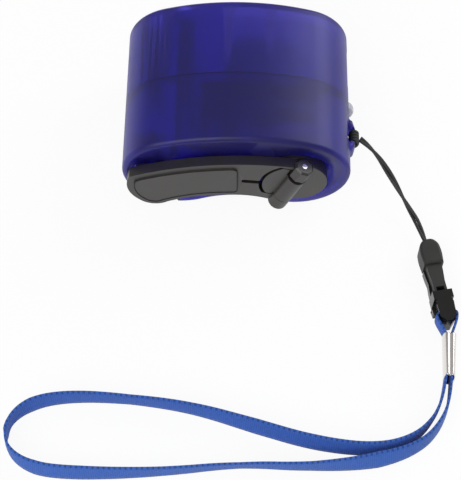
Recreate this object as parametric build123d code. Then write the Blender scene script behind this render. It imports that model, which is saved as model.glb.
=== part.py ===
from build123d import *
import os
from math import acos, atan2, cos, degrees, hypot, pi, radians, sin, sqrt, tan

# Hand crank phone charger with a fold-out crank, a light, a USB socket and a wrist strap.
# Millimetres. The case stands on the two lobes of its arched underside, crown up (+Z). The
# crank face looks along -Y and the USB socket along +X. The frame's origin is under the
# middle of the charger, without its strap, on the surface that it stands on.
#
# The case and the works are drawn on the crank face: x to the right, y up, and depths
# counted from the front rim into the case. "Out" is a height in front of that rim.

# ---------------------------------------------------------------- driving dimensions
CASE_WIDTH = 62.0
CASE_HEIGHT = 33.0
LOBE_RADIUS = 15.2
ARCH_RISE = 3.6
CASE_DEPTH = 45.5
SPLIT_DEPTH = 21.5
WALL = 1.6
FRONT_WALL = 1.8
EDGE_ROUND = 1.3
LIP_LENGTH = 1.6
FIT_GAP = 0.1
RUN_GAP = 0.05
FREE_GAP = 0.3

BAY_DEPTH = 0.6
HUB_POCKET_RADIUS = 10.6
HUB_POCKET_DEPTH = 2.2
HUB_RADIUS = 8.8
HUB_FOOT = 1.8
HUB_STEP = 0.9

ARM_THICKNESS = 2.9
ARM_LIFT = 0.1
ARM_CUT_RADIUS = 9.7
ARM_NECK = 6.9
PAD_BORDER = 2.1
PAD_RAISE = 0.5
PAD_END_X = 0.3
SLOT_WIDTH = 1.5
SLOT_START_X = 1.4
SLOT_Y = 16.9

HINGE_TILT = 21.0
HINGE_OFFSET = 1.1
BARREL_RADIUS = 2.75
BARREL_TOP = 9.5
BARREL_BOTTOM = 10.4
TOP_EAR_START = 5.2
EAR_BEVEL = 0.5
KNUCKLE_TOP = 4.1
KNUCKLE_BOTTOM = 5.6
HINGE_PIN_RADIUS = 0.75

KNOB_X = -23.6
KNOB_Y = 15.1
KNOB_RADIUS = 3.9
KNOB_TIP_RADIUS = 3.4
KNOB_LENGTH = 7.2
KNOB_SCREW_RADIUS = 1.0
KNOB_SCREW_HEAD = 2.0
POCKET_GAP = 0.5
POCKET_SWING = 0.9
POCKET_SWEEP = 32.0
POCKET_WALL = 1.0
POCKET_DEPTH = 8.0

MODULE = 0.5
PRESSURE_ANGLE = 20.0
BACKLASH = 0.07
ADDENDUM = 0.42
DEDENDUM = 0.62
MESH_SLACK = 0.1
CRANK_GEAR_TEETH = 40
PINION_TEETH = 10
FIRST_WHEEL_TEETH = 36
SECOND_WHEEL_TEETH = 32
FIRST_STAGE_ANGLE = 169.0
SECOND_STAGE_ANGLE = -8.0
THIRD_STAGE_ANGLE = 146.0
GEAR_AXLE_RADIUS = 0.75
CRANK_AXLE_RADIUS = 2.0
BUSH_RADIUS = 3.2
BUSH_FLANGE_RADIUS = 4.0
BUSH_FLANGE = 0.6

BUSH_END = 6.6
GEAR_ONE = (7.4, 9.9)
CLIP_RING = (10.0, 10.4)
AXLE_END = 10.7
MID_PLATE = (11.1, 12.3)
GEAR_TWO = (13.0, 15.0)
GEAR_THREE = (15.6, 17.4)
MOTOR_PLATE = (18.2, 19.8)
PLATE_GAP = 0.6
PLATE_LEFT_X = -9.6
PLATE_RIGHT_X = 19.5

MOTOR_WIDTH = 20.0
MOTOR_HEIGHT = 15.0
MOTOR_LENGTH = 15.5
MOTOR_CAP_LENGTH = 2.4
MOTOR_WALL = 0.8
MOTOR_NOSE_RADIUS = 3.0
MOTOR_SHAFT_RADIUS = 0.75
MOTOR_HOLE_SPACING = 10.0

LED_RADIUS = 2.5
LED_LENGTH = 8.6
LED_REACH = 1.4
LED_Y = 15.2

USB_CENTRE_DEPTH = 34.3
USB_WIDTH = 13.1
USB_HEIGHT = 5.7
USB_LENGTH = 14.0
USB_METAL = 0.35
USB_TONGUE_WIDTH = 11.1
USB_TONGUE_THICK = 1.84
USB_INSET = 0.5
BOARD_THICK = 1.2
BOARD_LEFT_X = 6.5
BOARD_FRONT_DEPTH = 23.4
BOARD_BACK_DEPTH = 42.6

CELL_X = -22.6
CELL_THICK = 4.2
CELL_HEIGHT = 19.0
CELL_LENGTH = 19.0
CELL_FRONT_DEPTH = 22.6

EYE_REACH = 1.8
EYE_CENTRE_DEPTH = 12.0
EYE_LENGTH = 10.0
EYE_HEIGHT = 5.6
EYE_BAR = 1.2
EYE_BAR_HEIGHT = 2.4
EYE_BAR_ROUND = 0.45
EYE_GAP_LENGTH = 5.4
EYE_GAP = 1.5

CASE_SCREW_SPOTS = ((-14.2, 25.6), (-12.4, 6.8))
GEARBOX_SCREW_SPOTS = ((7.5, 6.0), (-6.0, 27.6), (-6.0, 7.8))
POST_RADIUS = 2.2
GEARBOX_POST_RADIUS = 1.7
SCREW_RADIUS = 0.9
SCREW_HEAD_RADIUS = 1.6
SCREW_HEAD = 1.1

STRAND = 0.9
CORD_SIZE = 1.8
STRAP_WIDTH = 6.0
STRAP_THICK = 0.8

CLIP_LENGTH = 25.0
CLIP_WIDTH = 6.4
CLIP_HEIGHT = 6.6
CLIP_HEAD_LENGTH = 7.6
CLIP_EDGE_ROUND = 0.9
CLIP_START = (51.3, -34.0)
CLIP_HEADING = -79.3
CLIP_TONGUE = (2.9, 5.5)
CLIP_EYE_WIDTH = 4.6
CLIP_EYE_PLACE = 21.6
CLIP_EYE_HEIGHT = 5.0
CLIP_EYE_GAP = 1.3
LOOP_WIDTH = 4.4
LOOP_THICK = 0.7
CRIMP_START = (55.75, -62.2)
CRIMP_HEADING = -93.4
CRIMP_LENGTH = 12.0
CRIMP_WIDTH = 3.9
CRIMP_HEIGHT = 6.9
CRIMP_METAL = 0.35

# The cord's and the strap's routes, corner by corner, in the frame of the charger.
CORD_ROUTE = (
    (33.0, -8.0, 15.2), (36.8, -10.2, 13.6), (42.2, -15.6, 7.7),
    (46.5, -22.2, 3.9), (49.86, -28.69, 3.3), (51.67, -35.97, 3.3),
)
STRAP_ROUTE = (
    (55.85, -69.5), (55.5, -78.0), (52.6, -86.5), (46.8, -92.8), (35.6, -96.8),
    (19.0, -98.5), (1.0, -98.0), (-19.0, -100.4), (-39.0, -101.0), (-51.4, -100.0),
    (-58.4, -95.0), (-58.9, -87.6), (-53.0, -82.1), (-42.4, -80.1), (-27.0, -80.8),
    (-11.0, -83.0), (5.0, -87.8), (20.0, -92.2), (35.0, -93.9), (45.0, -91.0),
    (50.7, -85.2), (53.8, -77.5), (54.8, -69.5),
)
LOOP_ROUTE = (
    (56.1, -64.7), (56.25, -62.0), (58.77, -56.78), (58.36, -54.62),
    (52.26, -55.78), (52.67, -57.94), (55.2, -62.1), (55.05, -64.7),
)

# ---------------------------------------------------------------- what follows from them
LOBE_X = CASE_WIDTH / 2 - LOBE_RADIUS
CROWN_RADIUS = (LOBE_X**2 + (CASE_HEIGHT - LOBE_RADIUS) ** 2 - LOBE_RADIUS**2) / (
    2 * (CASE_HEIGHT - 2 * LOBE_RADIUS)
)
ARCH_RADIUS = (LOBE_X**2 + (LOBE_RADIUS - ARCH_RISE) ** 2 - LOBE_RADIUS**2) / (2 * ARCH_RISE)
CRANK = Vector(LOBE_X, LOBE_RADIUS)
KNOB = Vector(KNOB_X, KNOB_Y)

BARREL_REACH = 2 * BARREL_RADIUS
ORIGIN_X = EYE_REACH / 2
ORIGIN_DEPTH = (CASE_DEPTH - BARREL_REACH) / 2
FACE = Plane(origin=(-ORIGIN_X, -ORIGIN_DEPTH, 0), x_dir=(1, 0, 0), z_dir=(0, -1, 0))
ARM_TOP = ARM_LIFT + ARM_THICKNESS

ALONG = Vector(sin(radians(HINGE_TILT)), cos(radians(HINGE_TILT)))
ACROSS = Vector(-cos(radians(HINGE_TILT)), sin(radians(HINGE_TILT)))
HINGE = CRANK + ACROSS * HINGE_OFFSET


def polar(angle, length):
    """Vector of a length and an angle in degrees on the crank face."""
    return Vector(length * cos(radians(angle)), length * sin(radians(angle)))


def mesh_distance(teeth, other_teeth):
    """Centre distance of two meshed gears."""
    return MODULE * (teeth + other_teeth) / 2 + MESH_SLACK


FIRST_AXLE = CRANK + polar(FIRST_STAGE_ANGLE, mesh_distance(CRANK_GEAR_TEETH, PINION_TEETH))
SECOND_AXLE = FIRST_AXLE + polar(SECOND_STAGE_ANGLE, mesh_distance(FIRST_WHEEL_TEETH, PINION_TEETH))
MOTOR = SECOND_AXLE + polar(THIRD_STAGE_ANGLE, mesh_distance(SECOND_WHEEL_TEETH, PINION_TEETH))


# ---------------------------------------------------------------- drawing helpers
def slab(outline, start, end):
    """A flat outline on the crank face made solid between two depths."""
    return Pos(0, 0, -start) * extrude(outline, end - start, dir=(0, 0, -1))


def rod(at, start, end, radius):
    """A round bar square to the crank face between two depths."""
    return Pos(at.X, at.Y, -(start + end) / 2) * Cylinder(radius, end - start)


def hinge_rod(start, end, radius):
    """A round bar on the hinge's axis, from one place along it to another."""
    middle = HINGE + ALONG * ((start + end) / 2)
    lie_along = Plane(origin=(middle.X, middle.Y, BARREL_RADIUS), z_dir=(ALONG.X, ALONG.Y, 0))
    return lie_along.location * Cylinder(radius, end - start)


def hinge_block(across, along, depths):
    """A rectangle in the hinge's own directions, solid between two depths."""
    corners = [
        HINGE + ACROSS * a + ALONG * b
        for a, b in (
            (across[0], along[0]), (across[1], along[0]), (across[1], along[1]), (across[0], along[1]),
        )
    ]
    return slab(make_face(Polyline(*corners, close=True)), *depths)


def case_section(inset=0.0):
    """The bean-shaped outline of the case, drawn in by an inset."""
    crown_y = CASE_HEIGHT - CROWN_RADIUS
    arch_y = ARCH_RISE - ARCH_RADIUS
    up = (Vector(LOBE_X, LOBE_RADIUS) - Vector(0, crown_y)).normalized()
    down = (Vector(LOBE_X, LOBE_RADIUS) - Vector(0, arch_y)).normalized()
    crown_end = Vector(0, crown_y) + up * (CROWN_RADIUS - inset)
    arch_end = Vector(0, arch_y) + down * (ARCH_RADIUS + inset)
    side_x = CASE_WIDTH / 2 - inset

    def mirrored(point):
        return Vector(-point.X, point.Y)

    return make_face(
        Curve()
        + ThreePointArc(mirrored(crown_end), (0, CASE_HEIGHT - inset), crown_end)
        + ThreePointArc(crown_end, (side_x, LOBE_RADIUS), arch_end)
        + ThreePointArc(arch_end, (0, ARCH_RISE + inset), mirrored(arch_end))
        + ThreePointArc(mirrored(arch_end), (-side_x, LOBE_RADIUS), mirrored(crown_end))
    )


def disc(at, radius):
    """A round outline on the crank face."""
    return Pos(at.X, at.Y) * Circle(radius)


def stadium(at, other, radius):
    """The outline that a disc sweeps between two places."""
    middle = (at + other) / 2
    length = (other - at).length
    turn = degrees(atan2(other.Y - at.Y, other.X - at.X))
    return Pos(middle.X, middle.Y) * Rot(0, 0, turn) * SlotCenterToCenter(length, 2 * radius)


# ---------------------------------------------------------------- gears
def flank_angle(radius, teeth):
    """Half of a tooth's angle at a radius, on an involute of the pressure angle."""
    pitch_radius = MODULE * teeth / 2
    base_radius = pitch_radius * cos(radians(PRESSURE_ANGLE))
    thickness = pi * MODULE / 2 - BACKLASH

    def involute(at_radius):
        slope = acos(min(1.0, base_radius / at_radius))
        return tan(slope) - slope

    return thickness / (2 * pitch_radius) + involute(pitch_radius) - involute(max(radius, base_radius))


def gear(at, teeth, phase, depths, bore):
    """A spur gear whose first tooth points at the phase, in degrees."""
    pitch_radius = MODULE * teeth / 2
    root, tip = pitch_radius - DEDENDUM, pitch_radius + ADDENDUM
    undercut = 0.85 * flank_angle(root, teeth)
    profile = [(root, undercut)]
    profile += [(radius, flank_angle(radius, teeth)) for radius in (pitch_radius, tip)]
    corners = []
    for tooth in range(teeth):
        middle = radians(phase) + 2 * pi * tooth / teeth
        rising = [(radius, middle - half) for radius, half in profile]
        falling = [(radius, middle + half) for radius, half in reversed(profile)]
        corners += [
            (at.X + radius * cos(angle), at.Y + radius * sin(angle)) for radius, angle in rising + falling
        ]
    return slab(make_face(Polyline(*corners, close=True)) - disc(at, bore), *depths)


def meshed_phase(angle, phase, teeth, other_teeth):
    """Phase of a gear that lies at an angle from another and meshes with it."""
    pitches = (angle - phase) * teeth / 360
    return angle + 180 - (0.5 - pitches) * 360 / other_teeth


CRANK_PHASE = 0.0
FIRST_PINION_PHASE = meshed_phase(FIRST_STAGE_ANGLE, CRANK_PHASE, CRANK_GEAR_TEETH, PINION_TEETH)
SECOND_PINION_PHASE = meshed_phase(SECOND_STAGE_ANGLE, 0.0, FIRST_WHEEL_TEETH, PINION_TEETH)
MOTOR_PINION_PHASE = meshed_phase(THIRD_STAGE_ANGLE, 0.0, SECOND_WHEEL_TEETH, PINION_TEETH)


def crank_gear():
    """The large gear that the crank's axle turns."""
    hub = rod(CRANK, GEAR_ONE[0] - 0.4, GEAR_ONE[0], BUSH_RADIUS) - rod(
        CRANK, 0, CASE_DEPTH, CRANK_AXLE_RADIUS
    )
    return gear(CRANK, CRANK_GEAR_TEETH, CRANK_PHASE, GEAR_ONE, CRANK_AXLE_RADIUS) + hub


def first_gear():
    """Compound gear: its pinion runs on the crank gear, its wheel drives the second gear."""
    bore = GEAR_AXLE_RADIUS + RUN_GAP
    pinion = gear(
        FIRST_AXLE, PINION_TEETH, FIRST_PINION_PHASE, (GEAR_ONE[0] - 0.2, GEAR_ONE[1] + 0.2), bore
    )
    neck = rod(FIRST_AXLE, GEAR_ONE[1], GEAR_TWO[0], MODULE * PINION_TEETH / 2 - DEDENDUM)
    wheel = gear(FIRST_AXLE, FIRST_WHEEL_TEETH, 0.0, GEAR_TWO, bore)
    return pinion + wheel + (neck - rod(FIRST_AXLE, 0, CASE_DEPTH, bore))


def second_gear():
    """Compound gear: its pinion runs on the first wheel, its wheel drives the generator."""
    bore = GEAR_AXLE_RADIUS + RUN_GAP
    pinion = gear(
        SECOND_AXLE, PINION_TEETH, SECOND_PINION_PHASE, (GEAR_TWO[0] - 0.2, GEAR_TWO[1] + 0.2), bore
    )
    neck = rod(SECOND_AXLE, GEAR_TWO[1], GEAR_THREE[0], MODULE * PINION_TEETH / 2 - DEDENDUM)
    wheel = gear(SECOND_AXLE, SECOND_WHEEL_TEETH, 0.0, GEAR_THREE, bore)
    return pinion + wheel + (neck - rod(SECOND_AXLE, 0, CASE_DEPTH, bore))


def motor_pinion():
    """Pinion pressed on the generator's shaft."""
    depths = (GEAR_THREE[0] - 0.2, GEAR_THREE[1] + 0.2)
    return gear(MOTOR, PINION_TEETH, MOTOR_PINION_PHASE, depths, MOTOR_SHAFT_RADIUS)


def gear_axle(at, start):
    """Fixed steel pin that a compound gear turns on."""
    return rod(at, start, MOTOR_PLATE[1] - 0.4, GEAR_AXLE_RADIUS)


# ---------------------------------------------------------------- case
def knob_pocket(gap, start, end):
    """Room for the folded knob, wider on the side to which it swings out."""
    swung = KNOB + ACROSS * POCKET_SWING
    return slab(stadium(KNOB, swung, KNOB_RADIUS + gap), start, end)


def knob_way(gap, start, end):
    """The way out of the pocket through the underside, on the circle that the knob turns on."""
    reach = (KNOB - CRANK).length
    half = KNOB_RADIUS + gap
    stowed = degrees(atan2(KNOB.Y - CRANK.Y, KNOB.X - CRANK.X)) % 360
    angles = (stowed, stowed + POCKET_SWEEP / 2, stowed + POCKET_SWEEP)
    outer = [CRANK + polar(angle, reach + half) for angle in angles]
    inner = [CRANK + polar(angle, reach - half) for angle in reversed(angles)]
    sector = Curve() + ThreePointArc(*outer) + Line(outer[2], inner[0])
    sector += ThreePointArc(*inner) + Line(inner[2], outer[0])
    return slab(make_face(sector), start, end)


def plateau_cut():
    """The face to the left of the hub's collar, down to which the arm's bay goes."""
    tip = Vector(3.3, 27.4)
    corners = (
        (-CASE_WIDTH, -CASE_HEIGHT), (7.0, -CASE_HEIGHT), (7.0, 6.5), (9.0, 9.0), (9.0, 21.0),
        (6.0, 23.6), tip, (5.3, 30.2), (6.0, 2 * CASE_HEIGHT), (-CASE_WIDTH, 2 * CASE_HEIGHT),
    )
    return make_face(Polyline(*corners, close=True))


def eyelet():
    """The bridge on the right side that the cord is looped through."""
    side_x = CASE_WIDTH / 2
    depths = (EYE_CENTRE_DEPTH - EYE_LENGTH / 2, EYE_CENTRE_DEPTH + EYE_LENGTH / 2)
    foot = Pos(side_x, LOBE_RADIUS) * RectangleRounded(2 * EYE_REACH, EYE_HEIGHT, EYE_REACH * 0.9)
    return slab(foot, *depths)


def eyelet_gap():
    """The way through behind the bridge's bar, and the relief above and below the bar."""
    side_x = CASE_WIDTH / 2
    depths = (EYE_CENTRE_DEPTH - EYE_GAP_LENGTH / 2, EYE_CENTRE_DEPTH + EYE_GAP_LENGTH / 2)
    inner_x = side_x + EYE_REACH - EYE_BAR - EYE_GAP
    way = Pos(inner_x + EYE_GAP / 2, LOBE_RADIUS) * Rectangle(EYE_GAP, 2 * EYE_HEIGHT)
    bar_x = side_x + EYE_REACH - EYE_BAR / 2
    beside = Pos(bar_x, LOBE_RADIUS) * (
        Rectangle(2 * EYE_BAR, 2 * EYE_HEIGHT)
        - RectangleRounded(EYE_BAR, EYE_BAR_HEIGHT, EYE_BAR_ROUND)
    )
    return slab(way + beside, *depths)


def led_hole():
    """The hole for the light, half in each shell."""
    length = 2 * LED_LENGTH
    place = Pos(CASE_WIDTH / 2, LED_Y, -SPLIT_DEPTH)
    return place * Rot(0, 90, 0) * Cylinder(LED_RADIUS + FIT_GAP, length)


def screw_post(spot, start, end, radius=POST_RADIUS):
    """A post for a screw."""
    return rod(Vector(*spot), start, end, radius)


def front_shell():
    """Front half of the case: crank face, knob pocket, bearing boss and gearbox posts."""
    body = slab(case_section(), 0, SPLIT_DEPTH)
    rim = body.edges().group_by(Axis.Z)[-1]
    body = fillet(rim, EDGE_ROUND)
    room = slab(case_section(WALL), FRONT_WALL, SPLIT_DEPTH)
    step = slab(case_section(WALL / 2), SPLIT_DEPTH - LIP_LENGTH - FIT_GAP, SPLIT_DEPTH)
    inside = slab(case_section(WALL), 0, SPLIT_DEPTH)

    boss = rod(CRANK, FRONT_WALL, HUB_POCKET_DEPTH + FRONT_WALL, HUB_POCKET_RADIUS + FRONT_WALL)
    boss += rod(CRANK, FRONT_WALL, BUSH_END, BUSH_RADIUS + WALL)
    boss += rod(FIRST_AXLE, FRONT_WALL, GEAR_ONE[0] - 0.5, GEAR_AXLE_RADIUS + WALL)
    boss += knob_pocket(POCKET_GAP + POCKET_WALL, FRONT_WALL, POCKET_DEPTH + POCKET_WALL)
    boss += knob_way(POCKET_GAP + POCKET_WALL, FRONT_WALL, POCKET_DEPTH + POCKET_WALL)
    for spot in GEARBOX_SCREW_SPOTS:
        boss += screw_post(spot, FRONT_WALL, MID_PLATE[0], GEARBOX_POST_RADIUS)
    for spot in CASE_SCREW_SPOTS:
        boss += screw_post(spot, FRONT_WALL, SPLIT_DEPTH)
    seat_x = CASE_WIDTH / 2 + EYE_REACH - EYE_BAR - EYE_GAP - WALL
    seat = Pos((seat_x + CASE_WIDTH / 2) / 2, LOBE_RADIUS) * Rectangle(
        CASE_WIDTH / 2 - seat_x, 2 * EYE_HEIGHT
    )
    boss += slab(
        seat,
        EYE_CENTRE_DEPTH - EYE_GAP_LENGTH / 2 - WALL,
        EYE_CENTRE_DEPTH + EYE_GAP_LENGTH / 2 + WALL,
    )
    shell = body - room - step + (boss & inside) + eyelet()

    bay_edge = case_section(EDGE_ROUND + 0.2)
    shell -= slab(bay_edge & plateau_cut(), -1.0, BAY_DEPTH)
    shell -= rod(CRANK, -1.0, HUB_POCKET_DEPTH, HUB_POCKET_RADIUS)
    shell -= knob_pocket(POCKET_GAP, -1.0, POCKET_DEPTH) + knob_way(POCKET_GAP, -1.0, POCKET_DEPTH)
    shell -= rod(CRANK, 0, CASE_DEPTH, BUSH_RADIUS)
    shell -= rod(CRANK, 0, HUB_POCKET_DEPTH + BUSH_FLANGE, BUSH_FLANGE_RADIUS)
    shell -= rod(FIRST_AXLE, 4.0, CASE_DEPTH, GEAR_AXLE_RADIUS)
    for spot in GEARBOX_SCREW_SPOTS:
        shell -= screw_post(spot, MID_PLATE[0] - 5.0, CASE_DEPTH, SCREW_RADIUS)
    for spot in CASE_SCREW_SPOTS:
        shell -= screw_post(spot, SPLIT_DEPTH - 7.0, CASE_DEPTH, SCREW_RADIUS)
    return shell - eyelet_gap() - led_hole()


def usb_window():
    """The opening for the USB socket in the right side."""
    width, height = USB_WIDTH + 2 * FIT_GAP, USB_HEIGHT + 2 * FIT_GAP
    place = Pos(CASE_WIDTH / 2, LOBE_RADIUS, -USB_CENTRE_DEPTH)
    return place * Box(4 * WALL, height, width)


def rear_shell():
    """Rear half of the case, with the screw posts, the cell's cradle and the board's rails."""
    body = slab(case_section(), SPLIT_DEPTH, CASE_DEPTH)
    rim = body.edges().group_by(Axis.Z)[0]
    body = fillet(rim, EDGE_ROUND)
    room = slab(case_section(WALL), SPLIT_DEPTH - LIP_LENGTH, CASE_DEPTH - WALL)
    lip = slab(
        case_section(WALL / 2 + FIT_GAP) - case_section(WALL), SPLIT_DEPTH - LIP_LENGTH, SPLIT_DEPTH
    )
    inside = slab(case_section(WALL), SPLIT_DEPTH, CASE_DEPTH)
    ribs = Part()
    for spot in CASE_SCREW_SPOTS:
        ribs += screw_post(spot, SPLIT_DEPTH, CASE_DEPTH, POST_RADIUS)
    cell_back = CELL_FRONT_DEPTH + CELL_LENGTH
    for offset in (-CELL_THICK / 2 - FIT_GAP - 1.0, CELL_THICK / 2 + FIT_GAP):
        rail = Pos(CELL_X + offset + 0.5, LOBE_RADIUS) * Rectangle(1.0, CASE_HEIGHT)
        ribs += slab(rail, cell_back - 5.0, CASE_DEPTH)
    board_y = LOBE_RADIUS - USB_HEIGHT / 2 - BOARD_THICK
    for rail_y in (board_y - FIT_GAP - 1.0, board_y + BOARD_THICK + FIT_GAP):
        rail = Pos(BOARD_LEFT_X + 2.0, rail_y + 0.5) * Rectangle(4.0, 1.0)
        ribs += slab(rail, BOARD_BACK_DEPTH - 2.0, CASE_DEPTH)
    shell = body - room + lip + (ribs & inside)
    for spot in CASE_SCREW_SPOTS:
        shell -= screw_post(spot, 0, CASE_DEPTH, SCREW_RADIUS + FIT_GAP)
        shell -= screw_post(spot, SPLIT_DEPTH + 6.0, CASE_DEPTH, SCREW_HEAD_RADIUS + FIT_GAP)
    return shell - usb_window() - led_hole()


def screw(spot, start, end, head_depth):
    """A round-headed screw; its head ends at the head depth."""
    body = rod(Vector(*spot), start, end, SCREW_RADIUS)
    head = rod(Vector(*spot), end, head_depth, SCREW_HEAD_RADIUS)
    cross = Pos(spot[0], spot[1], -head_depth) * (Box(0.4, 1.7, 0.9) + Box(1.7, 0.4, 0.9))
    return body + head - cross


def case_screws():
    """The two long screws that close the case from behind."""
    seat = SPLIT_DEPTH + 6.0
    return [screw(spot, SPLIT_DEPTH - 6.0, seat, seat + SCREW_HEAD) for spot in CASE_SCREW_SPOTS]


def gearbox_screws():
    """The three screws that hold the gearbox plates on their posts."""
    start, seat = MID_PLATE[0] - 4.0, MOTOR_PLATE[1]
    return [screw(spot, start, seat, seat + SCREW_HEAD) for spot in GEARBOX_SCREW_SPOTS]


# ---------------------------------------------------------------- gearbox and generator
def plate_outline():
    """Outline of the gearbox plates: the inside of the case, cut off at both ends."""
    width = PLATE_RIGHT_X - PLATE_LEFT_X
    window = Pos((PLATE_RIGHT_X + PLATE_LEFT_X) / 2, CASE_HEIGHT / 2) * RectangleRounded(
        width, CASE_HEIGHT, 3.0
    )
    return case_section(WALL + PLATE_GAP) & window


def mid_plate():
    """Plate between the first two gear stages, with the columns that carry the second plate."""
    plate = slab(plate_outline(), *MID_PLATE)
    for spot in GEARBOX_SCREW_SPOTS:
        plate += screw_post(spot, MID_PLATE[0], MOTOR_PLATE[0], GEARBOX_POST_RADIUS)
        plate -= screw_post(spot, 0, CASE_DEPTH, SCREW_RADIUS)
    plate -= rod(FIRST_AXLE, 0, CASE_DEPTH, MODULE * PINION_TEETH / 2 + ADDENDUM + FREE_GAP)
    plate -= rod(SECOND_AXLE, MID_PLATE[0] + 0.3, CASE_DEPTH, GEAR_AXLE_RADIUS)
    return plate


def motor_plate():
    """Plate that carries the generator and the far ends of the gear axles."""
    plate = slab(plate_outline(), *MOTOR_PLATE)
    for spot in GEARBOX_SCREW_SPOTS:
        plate -= screw_post(spot, 0, CASE_DEPTH, SCREW_RADIUS)
    plate -= rod(FIRST_AXLE, 0, MOTOR_PLATE[1] - 0.4, GEAR_AXLE_RADIUS)
    plate -= rod(SECOND_AXLE, 0, MOTOR_PLATE[1] - 0.4, GEAR_AXLE_RADIUS)
    plate -= rod(MOTOR, 0, CASE_DEPTH, MOTOR_NOSE_RADIUS)
    for hole in motor_holes():
        plate -= rod(hole, 0, CASE_DEPTH, SCREW_RADIUS)
        plate -= rod(hole, 0, MOTOR_PLATE[0] + 0.8, SCREW_HEAD_RADIUS)
    return plate


def motor_holes():
    """Where the generator's two screws go."""
    half = MOTOR_HOLE_SPACING / 2
    return (MOTOR - Vector(half, 0), MOTOR + Vector(half, 0))


def motor_screws():
    """Flush screws through the plate into the generator's front."""
    return [
        rod(hole, MOTOR_PLATE[0] + 0.1, MOTOR_PLATE[0] + 0.8, SCREW_HEAD_RADIUS)
        + rod(hole, MOTOR_PLATE[0] + 0.8, MOTOR_PLATE[1] + MOTOR_WALL, SCREW_RADIUS)
        for hole in motor_holes()
    ]


def motor_section(inset=0.0):
    """The generator's round-ended flat section."""
    flat = (MOTOR_WIDTH - MOTOR_HEIGHT) / 2
    return stadium(MOTOR - Vector(flat, 0), MOTOR + Vector(flat, 0), MOTOR_HEIGHT / 2 - inset)


def generator_can():
    """Drawn steel can with the nose that centres it in the plate."""
    start = MOTOR_PLATE[1]
    can = slab(motor_section(), start, start + MOTOR_LENGTH)
    can -= slab(motor_section(MOTOR_WALL), start + MOTOR_WALL, start + MOTOR_LENGTH)
    can += rod(MOTOR, MOTOR_PLATE[0] + 0.2, start + MOTOR_WALL, MOTOR_NOSE_RADIUS)
    can -= rod(MOTOR, 0, CASE_DEPTH, MOTOR_SHAFT_RADIUS + RUN_GAP)
    for hole in motor_holes():
        can -= rod(hole, 0, start + MOTOR_WALL, SCREW_RADIUS)
    return can


def generator_cap():
    """Plastic end cap with the rear bearing."""
    start = MOTOR_PLATE[1] + MOTOR_LENGTH
    cap = slab(motor_section(), start, start + MOTOR_CAP_LENGTH)
    cap += slab(motor_section(MOTOR_WALL + FIT_GAP), start - 1.0, start)
    cap += rod(MOTOR, start, start + MOTOR_CAP_LENGTH + 1.0, MOTOR_NOSE_RADIUS)
    cap -= rod(MOTOR, 0, start + MOTOR_CAP_LENGTH + 0.4, MOTOR_SHAFT_RADIUS + RUN_GAP)
    return cap


def generator_magnets():
    """The two curved magnets that line the can."""
    start = MOTOR_PLATE[1] + MOTOR_WALL + 1.0
    end = MOTOR_PLATE[1] + MOTOR_LENGTH - 2.0
    ring = motor_section(MOTOR_WALL + FIT_GAP) - disc(MOTOR, MOTOR_HEIGHT / 2 - MOTOR_WALL - 0.9)
    half_gap = Pos(MOTOR.X, MOTOR.Y) * Rectangle(5.0, MOTOR_HEIGHT)
    pair = slab(ring - half_gap, start, end)
    return pair.solids()


def rotor_core():
    """Three-pole armature stack."""
    start = MOTOR_PLATE[1] + MOTOR_WALL + 1.4
    end = MOTOR_PLATE[1] + MOTOR_LENGTH - 4.2
    radius = MOTOR_HEIGHT / 2 - MOTOR_WALL - 1.3
    outline = disc(MOTOR, radius)
    for pole in range(3):
        angle = 60 + 120 * pole
        outline -= stadium(MOTOR + polar(angle, radius * 0.62), MOTOR + polar(angle, radius * 2), 0.5)
        outline -= disc(MOTOR + polar(angle, radius * 0.62), 1.5)
    return slab(outline - disc(MOTOR, MOTOR_SHAFT_RADIUS), start, end)


def commutator():
    """Copper commutator behind the armature."""
    start = MOTOR_PLATE[1] + MOTOR_LENGTH - 4.0
    ring = disc(MOTOR, 2.0) - disc(MOTOR, MOTOR_SHAFT_RADIUS)
    return slab(ring, start, start + 2.6)


def rotor_shaft():
    """Steel shaft of the generator."""
    start = GEAR_THREE[0] - 0.4
    end = MOTOR_PLATE[1] + MOTOR_LENGTH + MOTOR_CAP_LENGTH
    return rod(MOTOR, start, end, MOTOR_SHAFT_RADIUS)


def generator_tabs():
    """The two solder tabs on the end cap."""
    start = MOTOR_PLATE[1] + MOTOR_LENGTH + MOTOR_CAP_LENGTH
    tabs = []
    for side in (-1, 1):
        tab = Pos(MOTOR.X + side * 6.5, MOTOR.Y - 2.0) * Rectangle(0.4, 2.2)
        tabs.append(slab(tab, start, start + 3.0))
    return tabs


# ---------------------------------------------------------------- electrics
def board_level():
    """Underside of the circuit board, which carries the USB socket."""
    return LOBE_RADIUS - USB_HEIGHT / 2 - BOARD_THICK


def board_box(x_from, x_to, depth_from, depth_to, low, high):
    """A block given by its x, its depths and its heights."""
    outline = Pos((x_from + x_to) / 2, (low + high) / 2) * Rectangle(x_to - x_from, high - low)
    return slab(outline, depth_from, depth_to)


def usb_mouth_x():
    """Where the USB socket's mouth lies."""
    return CASE_WIDTH / 2 - USB_INSET


def circuit_board():
    """The board that rectifies, regulates and carries the USB socket."""
    low = board_level()
    right = usb_mouth_x() - 1.0
    board = board_box(BOARD_LEFT_X, right, BOARD_FRONT_DEPTH, BOARD_BACK_DEPTH, low, low + BOARD_THICK)
    room = slab(case_section(WALL + 0.4), 0, CASE_DEPTH)
    return board & room


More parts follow.
